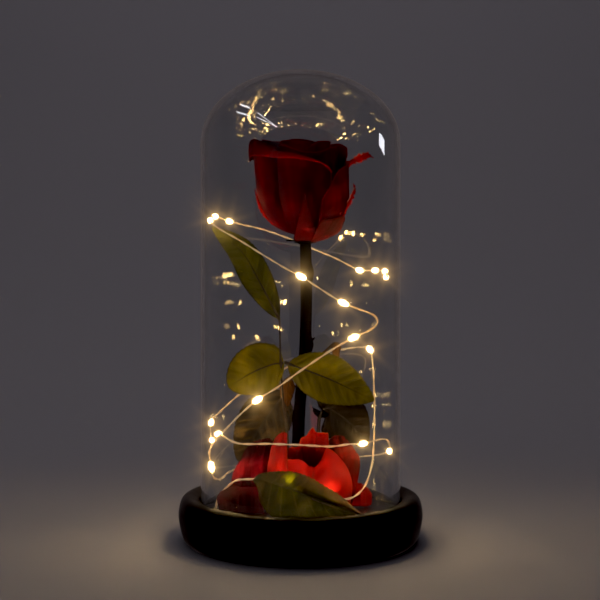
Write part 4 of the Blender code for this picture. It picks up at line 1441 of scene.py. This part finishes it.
def front_leaf_point(net, across, up):
    """The sheet through the picked points, with a toothed edge, pressed veins and wrinkles."""
    point = net_point(net, across, up)
    outward = (net_point(net, 1, up) - net_point(net, -1, up)) * math.copysign(0.5, across)
    room = ease(outward.length, 0.5, 5)
    teeth = (up * FRONT_LEAF_LENGTH / TOOTH_PITCH) % 1
    toothed = TOOTH_HEIGHT * (teeth - 0.4) * ease(abs(across), 0.8, 1) * room
    vein = (up * FRONT_LEAF_LENGTH - VEIN_SLANT * abs(across) * outward.length) / VEIN_PITCH % 1
    dent = math.exp(-(((vein - 0.5) / VEIN_HALF_WIDTH) ** 2)) * ease(abs(across), 0.1, 0.3) * room
    wrinkle = 0.35 * noise.noise(point * 0.22) + 0.12 * noise.noise(point * 0.8)
    return point + outward.normalized() * toothed + Vector((0, 1, 0)) * (VEIN_DEPTH * dent + wrinkle * room)


# The rib has dried out as pale as straw, with fine streaks, along the right half of the leaf alone
pale_rib, tree, shader = new_finish("pale dried rib", Roughness=0.6)
mottle(tree, shader, RIB_STREAK, 2.0, [(0.35, "#6A5436"), (0.65, "#B89A6C")])
front_net = [[picked(*point) for point in row] for row in FRONT_LEAF]
front_leaf_at = partial(front_leaf_point, front_net)
front_leaf = walled(grid_piece("loose_front_leaf", *FRONT_LEAF_GRID, front_leaf_at), LEAF_WALL)
front_leaf.data.materials.append(LEAF_FINISHES["dusky"])
right_half = [row[2] - Vector((0, FRONT_RIB_SINK, 0)) for row in front_net[4:]]
front_rib_at = partial(tube_point, smooth_path(right_half), partial(rib_radius, FRONT_LEAF_RIB, 0.0))
front_rib = close_seams(grid_piece("front_rib", *RIB_GRID, front_rib_at))
front_rib.data.materials.append(pale_rib)
fit(join([front_leaf, front_rib]), None, "leaf", "front_leaf")

# Stalk of the compound leaf: a thin stalk, dried dark, that stands on the base beside the stem and leads to
# the three leaflets that it carries. It is a little swollen where the two side leaflets join it.
RACHIS_PATH = (
    (-5.9, -4.0, 20.3), (-6.0, -4.4, 36), (-6.3, -8, 51), (-8.5, -10, 69.5),
    (-9.6, -12, 87.6), (-10, -11, 101), (-10.2, -10, 109.4),
)
RACHIS_RADIUS = 0.6
RACHIS_GRID = (16, 120)
JOINT_Z = 87.6
JOINT_SWELLING = 0.35
JOINT_HALF_LENGTH = 1.6


def rachis_radius(centre, angle, up):
    joint = JOINT_SWELLING * math.exp(-(((centre.z - JOINT_Z) / JOINT_HALF_LENGTH) ** 2))
    return RACHIS_RADIUS * (1 - 0.3 * up) + joint + 0.05 * noise.noise(Vector((angle, centre.z * 0.4, 0)))


rachis_at = partial(tube_point, smooth_path(RACHIS_PATH), rachis_radius)
rachis = close_seams(grid_piece("compound_leaf_stalk", *RACHIS_GRID, rachis_at))
fit(rachis, rib_finish, "stalk", "leaf_stalk")

# Fallen petals: the same preserved petals, cupped and creased, that stand and lean round the foot of the
# stem. Thin and lit from close by, they glow near a light and stay dark in their folds, and much of that
# light and shade is also painted into their colours.
FALLEN_FOOT_Z = 19.9
FALLEN_FOOT_STEP = 0.3
FALLEN_GRID = 64
PETAL_CREASE = 0.9
RIM_CURL = 1.1
RIM_NOTCH = 0.7

# Points picked like the loose leaf's, in rows from the foot to the rim, each from the petal's left to its
# right. The foot stands on the base, so its points are only a column and a depth.
FALLEN_PETALS = {
    "fallen_petal_left": (
        ((234, -14), (241, -18), (249, -19), (257, -18), (264, -16), (270, -12)),
        (
            (232, 484, -15), (240, 484, -20), (248, 484, -21),
            (256, 483, -20), (264, 482, -17), (270, 480, -12),
        ),
        (
            (233.5, 474, -14), (240, 471, -18.5), (248, 469, -20),
            (256, 467, -19), (264, 466, -15.5), (270, 464, -11),
        ),
        (
            (237, 466, -10), (242, 461, -13), (250, 458.5, -14),
            (257, 458, -13.5), (264, 457, -12), (270, 456, -9),
        ),
        ((240, 460, -5), (246, 449, -4), (254, 442, -3), (262, 439, -3), (268, 438, -4), (273, 440, -5)),
    ),
    "fallen_petal_upright": (
        ((268, -17), (274, -20), (281, -20.5), (287.5, -17)),
        ((267.5, 471, -17), (273, 472, -21.5), (280, 472, -21.5), (287, 472, -17.5)),
        ((269.5, 458, -15), (275, 459, -20), (281, 459, -19.5), (287, 459, -15.5)),
        ((271.5, 448, -12), (276, 447, -16), (282, 446, -15.5), (287, 446, -11)),
        ((275.5, 438, -9), (279, 434, -11.5), (283, 432, -11.5), (287, 432.5, -8)),
    ),
    "fallen_petal_front": (
        (
            (270, -12), (280, -13), (290, -16), (301, -19), (311, -17),
            (317, -19), (328, -20), (340, -18), (348, -12),
        ),
        (
            (270, 485, -12), (280, 485, -14), (290.5, 485, -18), (302, 485, -22), (312, 486, -20),
            (319, 485, -22.5), (330, 484, -23.5), (342, 484, -21), (351.5, 487, -12),
        ),
        (
            (270, 471, -12), (280, 470, -14), (290, 470, -17.5), (302, 471, -21), (312.5, 476, -16.5),
            (319, 472, -17.5), (329, 468, -20), (341, 470, -17.5), (350.5, 477, -11),
        ),
        (
            (270, 462, -11), (280, 461, -13), (290, 461.5, -15.5), (302, 463, -18), (312.5, 470, -12),
            (319, 462, -10), (328, 457, -13), (337, 459.5, -12), (346, 466, -9.5),
        ),
        (
            (270, 459, -10), (280, 458.5, -12), (290, 459, -13.5), (302, 460, -16), (311, 466, -10),
            (314, 450, -4), (323, 446.5, -6), (332, 450, -8), (339, 457, -8),
        ),
    ),
    "fallen_petal_middle": (
        (
            (288, -7), (294, -9), (299, -9.5), (302, -9.8), (307, -10),
            (312, -10), (317, -10), (322, -9), (329, -7),
        ),
        (
            (287.5, 472, -7), (293, 472, -9), (298, 472, -9.5), (302, 472, -9.8), (307, 472, -10),
            (312, 472, -10), (317, 472, -10), (322, 472, -9.5), (329, 472, -7),
        ),
        (
            (287.5, 454, -6.5), (293, 453, -9), (298, 453, -9.5), (301.5, 451, -9.8), (307, 450, -10.5),
            (312, 448, -10.5), (317, 450, -10), (322, 452, -9.5), (329, 454, -6.5),
        ),
        (
            (287.5, 447.5, -6), (293, 447, -8), (298.5, 446, -9), (301, 438, -9.5), (306, 435.5, -10),
            (312, 427.5, -9), (316, 431.5, -9), (322, 432, -8.5), (328, 433, -6),
        ),
    ),
    "fallen_petal_right": (
        ((332, -5), (339, -7), (345, -6.5), (350, -4), (352, 0)),
        ((330, 478, -5), (338, 478, -7.5), (346, 478, -7), (353, 479, -3), (357, 480, 1)),
        ((328, 458, -4), (336, 455, -6.5), (346, 456, -6), (354, 462, -2.5), (360, 467, 2)),
        ((326, 444, -1), (333, 436, -2), (343, 436, -1.5), (352, 446, 1), (359, 456, 4)),
    ),
    "fallen_petal_side": (
        ((351, -3), (359, -5), (365, -4), (370, 0)),
        ((350, 488, 3), (358, 487, 2), (365, 489, 2), (371, 491, 2)),
        ((351, 480, 8), (359, 479.5, 9), (366, 482.5, 8), (371, 487.5, 5)),
    ),
    "fallen_petal_low": (
        ((221, -22), (233, -28), (246, -30), (258, -30), (264, -28)),
        ((219, 496, -19), (232, 494, -24), (247, 492.5, -26), (258, 494, -26), (264, 496, -25)),
        ((222, 489, -15), (232, 483.5, -17), (246, 482.5, -18), (258, 484, -19), (263, 488, -21)),
    ),
}


def petal_net(foot, *rows):
    """The net of a fallen petal. Every second point of its foot stands a little off the base."""
    net = [[picked(*point) for point in row] for row in rows]
    heights = (FALLEN_FOOT_Z + FALLEN_FOOT_STEP * (i % 2) for i in range(len(foot)))
    lowest = [picked(column, LEVEL_ROW, depth) for column, depth in foot]
    return [[Vector((point.x, point.y, z)) for point, z in zip(lowest, heights)], *net]


def fallen_petal_point(net, across, up):
    """A point of a fallen petal: its sheet with fine creases that fan out from its foot and a curled rim."""
    point = net_point(net, across, up)
    seed = Vector((net[0][0].x, net[0][0].y, 0))
    fan = noise.noise(seed + Vector((across * 3.2, up * 1.2, 3)))
    fan += 0.45 * noise.noise(seed + Vector((across * 8, up * 2.5, 9)))
    curl = RIM_CURL * ease(up, 0.86, 1) ** 2 * (0.7 + noise.noise(seed + Vector((across * 4, 0, 5))))
    notch = RIM_NOTCH * ease(up, 0.8, 1) * noise.noise(seed + Vector((across * 8, 0, 1)))
    return point + Vector((0, -curl + PETAL_CREASE * fan * ease(up, 0, 0.3), notch))


# The lit, half dark and deepest colours are one velvet with its light and shade painted in, by how much light
# falls on each fallen petal where it lies
LIT = ("#9C0C0E", "#D01A14", "#F03420", "#F88850")
WINE = ("#480310", "#6A0616", "#94101E", "#C05058")
HALF_SHADE_PAINTED = ("#3C0404", "#5C0806", "#84140C", "#A03020")
DEEP_SHADE_PAINTED = ("#2C0204", "#400406", "#5C0C0A", "#7C2418")

# Painted light and shade: how much of its colour each petal keeps from its foot to its rim, where the light
# on it is uneven
WINE_BANDS = [(0, 0.25), (0.25, 0.3), (0.45, 1), (0.68, 0.9), (0.8, 0.16), (1, 0.1)]
UPRIGHT_BANDS = [(0, 1), (0.5, 0.8), (1, 0.3)]
SHADED_FOOT_BANDS = [(0, 0.02), (0.62, 0.05), (0.8, 0.4), (1, 0.8)]
FALLEN_FINISHES = {
    "fallen_petal_front": velvet_finish("preserved petal, lit", LIT, "#FF7850", 0.64, gloss=0.4),
    "fallen_petal_side": velvet_finish(
        "preserved petal, half lit", LIT, "#D01808", 0.3, bands=[(0, 0.3), (1, 0.6)]
    ),
    "fallen_petal_upright": velvet_finish(
        "preserved petal, upright", LIT, "#FF3010", 0.45, bands=UPRIGHT_BANDS, gloss=0.3, edge_from=0.42
    ),
    "fallen_petal_left": velvet_finish("preserved petal, wine red", WINE, "#C01020", 0.2, bands=WINE_BANDS),
    "fallen_petal_middle": velvet_finish(
        "preserved petal, painted shade at foot", LIT, "#D81810", 0.2, bands=SHADED_FOOT_BANDS
    ),
    "fallen_petal_right": velvet_finish("preserved petal, painted half shade", HALF_SHADE_PAINTED, "#B81008", 0.15),
    "fallen_petal_low": velvet_finish(
        "preserved petal, painted deepest shade", DEEP_SHADE_PAINTED, "#801008", 0.08, bands=[(0, 0.5), (1, 1)]
    ),
}
for name, rows in FALLEN_PETALS.items():
    point_at = partial(fallen_petal_point, petal_net(*rows))
    piece = walled(grid_piece(f"loose_{name}", FALLEN_GRID, FALLEN_GRID, point_at))
    fit(piece, FALLEN_FINISHES[name], "fallen_petal", name)

# Studio: a plain pale floor that sweeps up all round, seen in a dim room, with soft lamps high up and a few
# bright gaps at the sides. The radii and the height of the sweep are in metres.
SWEEP_FLAT = 0.30
SWEEP_RADIUS = 1.4
SWEEP_HEIGHT = 1.6
SWEEP_CURVE = 2.6
SWEEP_RISERS = 32
SWEEP_STEPS = 96
FLOOR_GAP = 0.1
PAPER_PATCH = 6.25
sweep_outline = [(0.0, -FLOOR_GAP)]
for i in range(SWEEP_RISERS + 1):
    share = i / SWEEP_RISERS
    out = SWEEP_FLAT + (SWEEP_RADIUS - SWEEP_FLAT) * share
    sweep_outline.append((out / MM, SWEEP_HEIGHT * share**SWEEP_CURVE / MM - FLOOR_GAP))
sweep = lathe("sweep", sweep_outline, SWEEP_STEPS)
pale, tree, shader = new_finish(
    "pale matt paper", Base_Color=srgb("#BAB7B8"), Roughness=0.85, Specular_IOR_Level=0.2
)
place = add(tree, "ShaderNodeTexCoord")
fibre = add(
    tree,
    "ShaderNodeTexNoise",
    {"Vector": place.outputs["Object"], "Scale": pattern_scale(PAPER_PATCH), "Detail": 5.0},
)
add(
    tree,
    "ShaderNodeBump",
    {"Height": fibre.outputs["Fac"], "Strength": 0.1, "Distance": 0.1 * MM},
    feeds=shader.inputs["Normal"],
)
sweep.data.materials.append(pale)
sweep.visible_glossy = False

# Soft lamps: name, place and aim (m), size (m), power (W) and spread (degrees). The glass doesn't show them.
LAMP_COLOUR = "#ECE8F6"
LAMPS = (
    ("overhead", (0.0, 0.25, 1.3), (0.0, 0.15, 0.0), (1.0, 1.0), 0.6, 110),
    ("backdrop", (0.0, 0.7, 1.5), (0.0, 1.25, 0.5), (1.6, 0.5), 0.9, 120),
    ("front_of_sweep", (0.0, -0.7, 1.5), (0.0, -1.25, 0.5), (1.6, 0.5), 0.4, 95),
)
# Bright gaps that the glass shows as thin streaks: name, their two ends (m), width (m) and power (W)
STREAK_COLOUR = "#F4F4FF"
STREAK_AIM = Vector((0, 0, 0.2))
STREAKS = (
    ("window_bar_upper", (-0.68, 0.14, 0.92), (-0.68, -0.14, 0.92), 0.03, 0.10),
    ("window_bar_lower", (-0.79, 0.04, 0.81), (-0.76, -0.32, 0.75), 0.025, 0.10),
    ("window_edge_upper", (-0.65, -0.42, 0.83), (-0.43, -0.88, 0.41), 0.012, 0.10),
    ("window_edge_lower", (-0.70, -0.49, 0.72), (-0.43, -0.88, 0.41), 0.012, 0.10),
    ("side_window", (1.01, 0.135, 0.372), (0.97, 0.305, 0.352), 0.028, 0.08),
)


def place_lamp(name, place, across, size, power, colour, aim):
    """An area lamp that faces its aim, with its long side along the given direction."""
    lamp = bpy.data.lights.new(name, "AREA")
    lamp.shape = "RECTANGLE"
    lamp.size, lamp.size_y = size
    lamp.energy = power
    lamp.color = srgb(colour)[:3]
    lamp_object = bpy.data.objects.new(name, lamp)
    back = (place - aim).normalized()
    side = (across - back * back.dot(across)).normalized()
    turn = Matrix((side, back.cross(side), back)).transposed()
    lamp_object.matrix_world = Matrix.Translation(place) @ turn.to_4x4()
    bpy.context.scene.collection.objects.link(lamp_object)
    return lamp_object


for name, place, aim, size, power, spread in LAMPS:
    lamp = place_lamp(name, Vector(place), Vector((1, 0, 0)), size, power, LAMP_COLOUR, Vector(aim))
    lamp.data.spread = math.radians(spread)
    lamp.visible_glossy = lamp.visible_transmission = False
for name, start, end, width, power in STREAKS:
    start, end = Vector(start), Vector(end)
    size = ((end - start).length, width)
    place_lamp(name, (start + end) / 2, end - start, size, power, STREAK_COLOUR, STREAK_AIM)

# The room is dark in front and a little paler behind, which gives the glass and the base thin pale edges
world = bpy.data.worlds.new("dim room")
world.use_nodes = True
tree = world.node_tree
way = add(tree, "ShaderNodeTexCoord")
split = add(tree, "ShaderNodeSeparateXYZ", {0: way.outputs["Generated"]})
stops = [(0.0, srgb("#070708")), (1.0, srgb("#544C4C"))]
shades = {"Fac": split.outputs["Y"]}
add(tree, "ShaderNodeValToRGB", shades, stops, tree.nodes["Background"].inputs["Color"])
bpy.context.scene.world = world

# The lens: the small lights' glow spreads to a soft halo and a faint star, as in any photograph of them
scene = bpy.context.scene
scene.view_settings.view_transform = "Standard"
scene.use_nodes = True
lens_tree = scene.node_tree
lens_tree.nodes.clear()
picture = add(lens_tree, "CompositorNodeRLayers")
halo = add(
    lens_tree,
    "CompositorNodeGlare",
    {
        "Image": picture.outputs["Image"],
        "Threshold": 2.0,
        "Strength": 0.55,
        "Size": 0.055,
        "Maximum": 12.0,
        "Clamp": True,
    },
    glare_type="BLOOM",
)
star = add(
    lens_tree,
    "CompositorNodeGlare",
    {
        "Image": halo.outputs["Image"],
        "Threshold": 4.0,
        "Strength": 0.04,
        "Streaks": 6,
        "Streaks Angle": 0.3,
        "Iterations": 2,
        "Fade": 0.8,
        "Maximum": 20.0,
        "Clamp": True,
    },
    glare_type="STREAKS",
)
contrast = add(
    lens_tree,
    "CompositorNodeCurveRGB",
    {"Image": star.outputs["Image"], "Black Level": (0.007, 0.007, 0.007, 1)},
)
add(lens_tree, "CompositorNodeComposite", {"Image": contrast.outputs["Image"]})
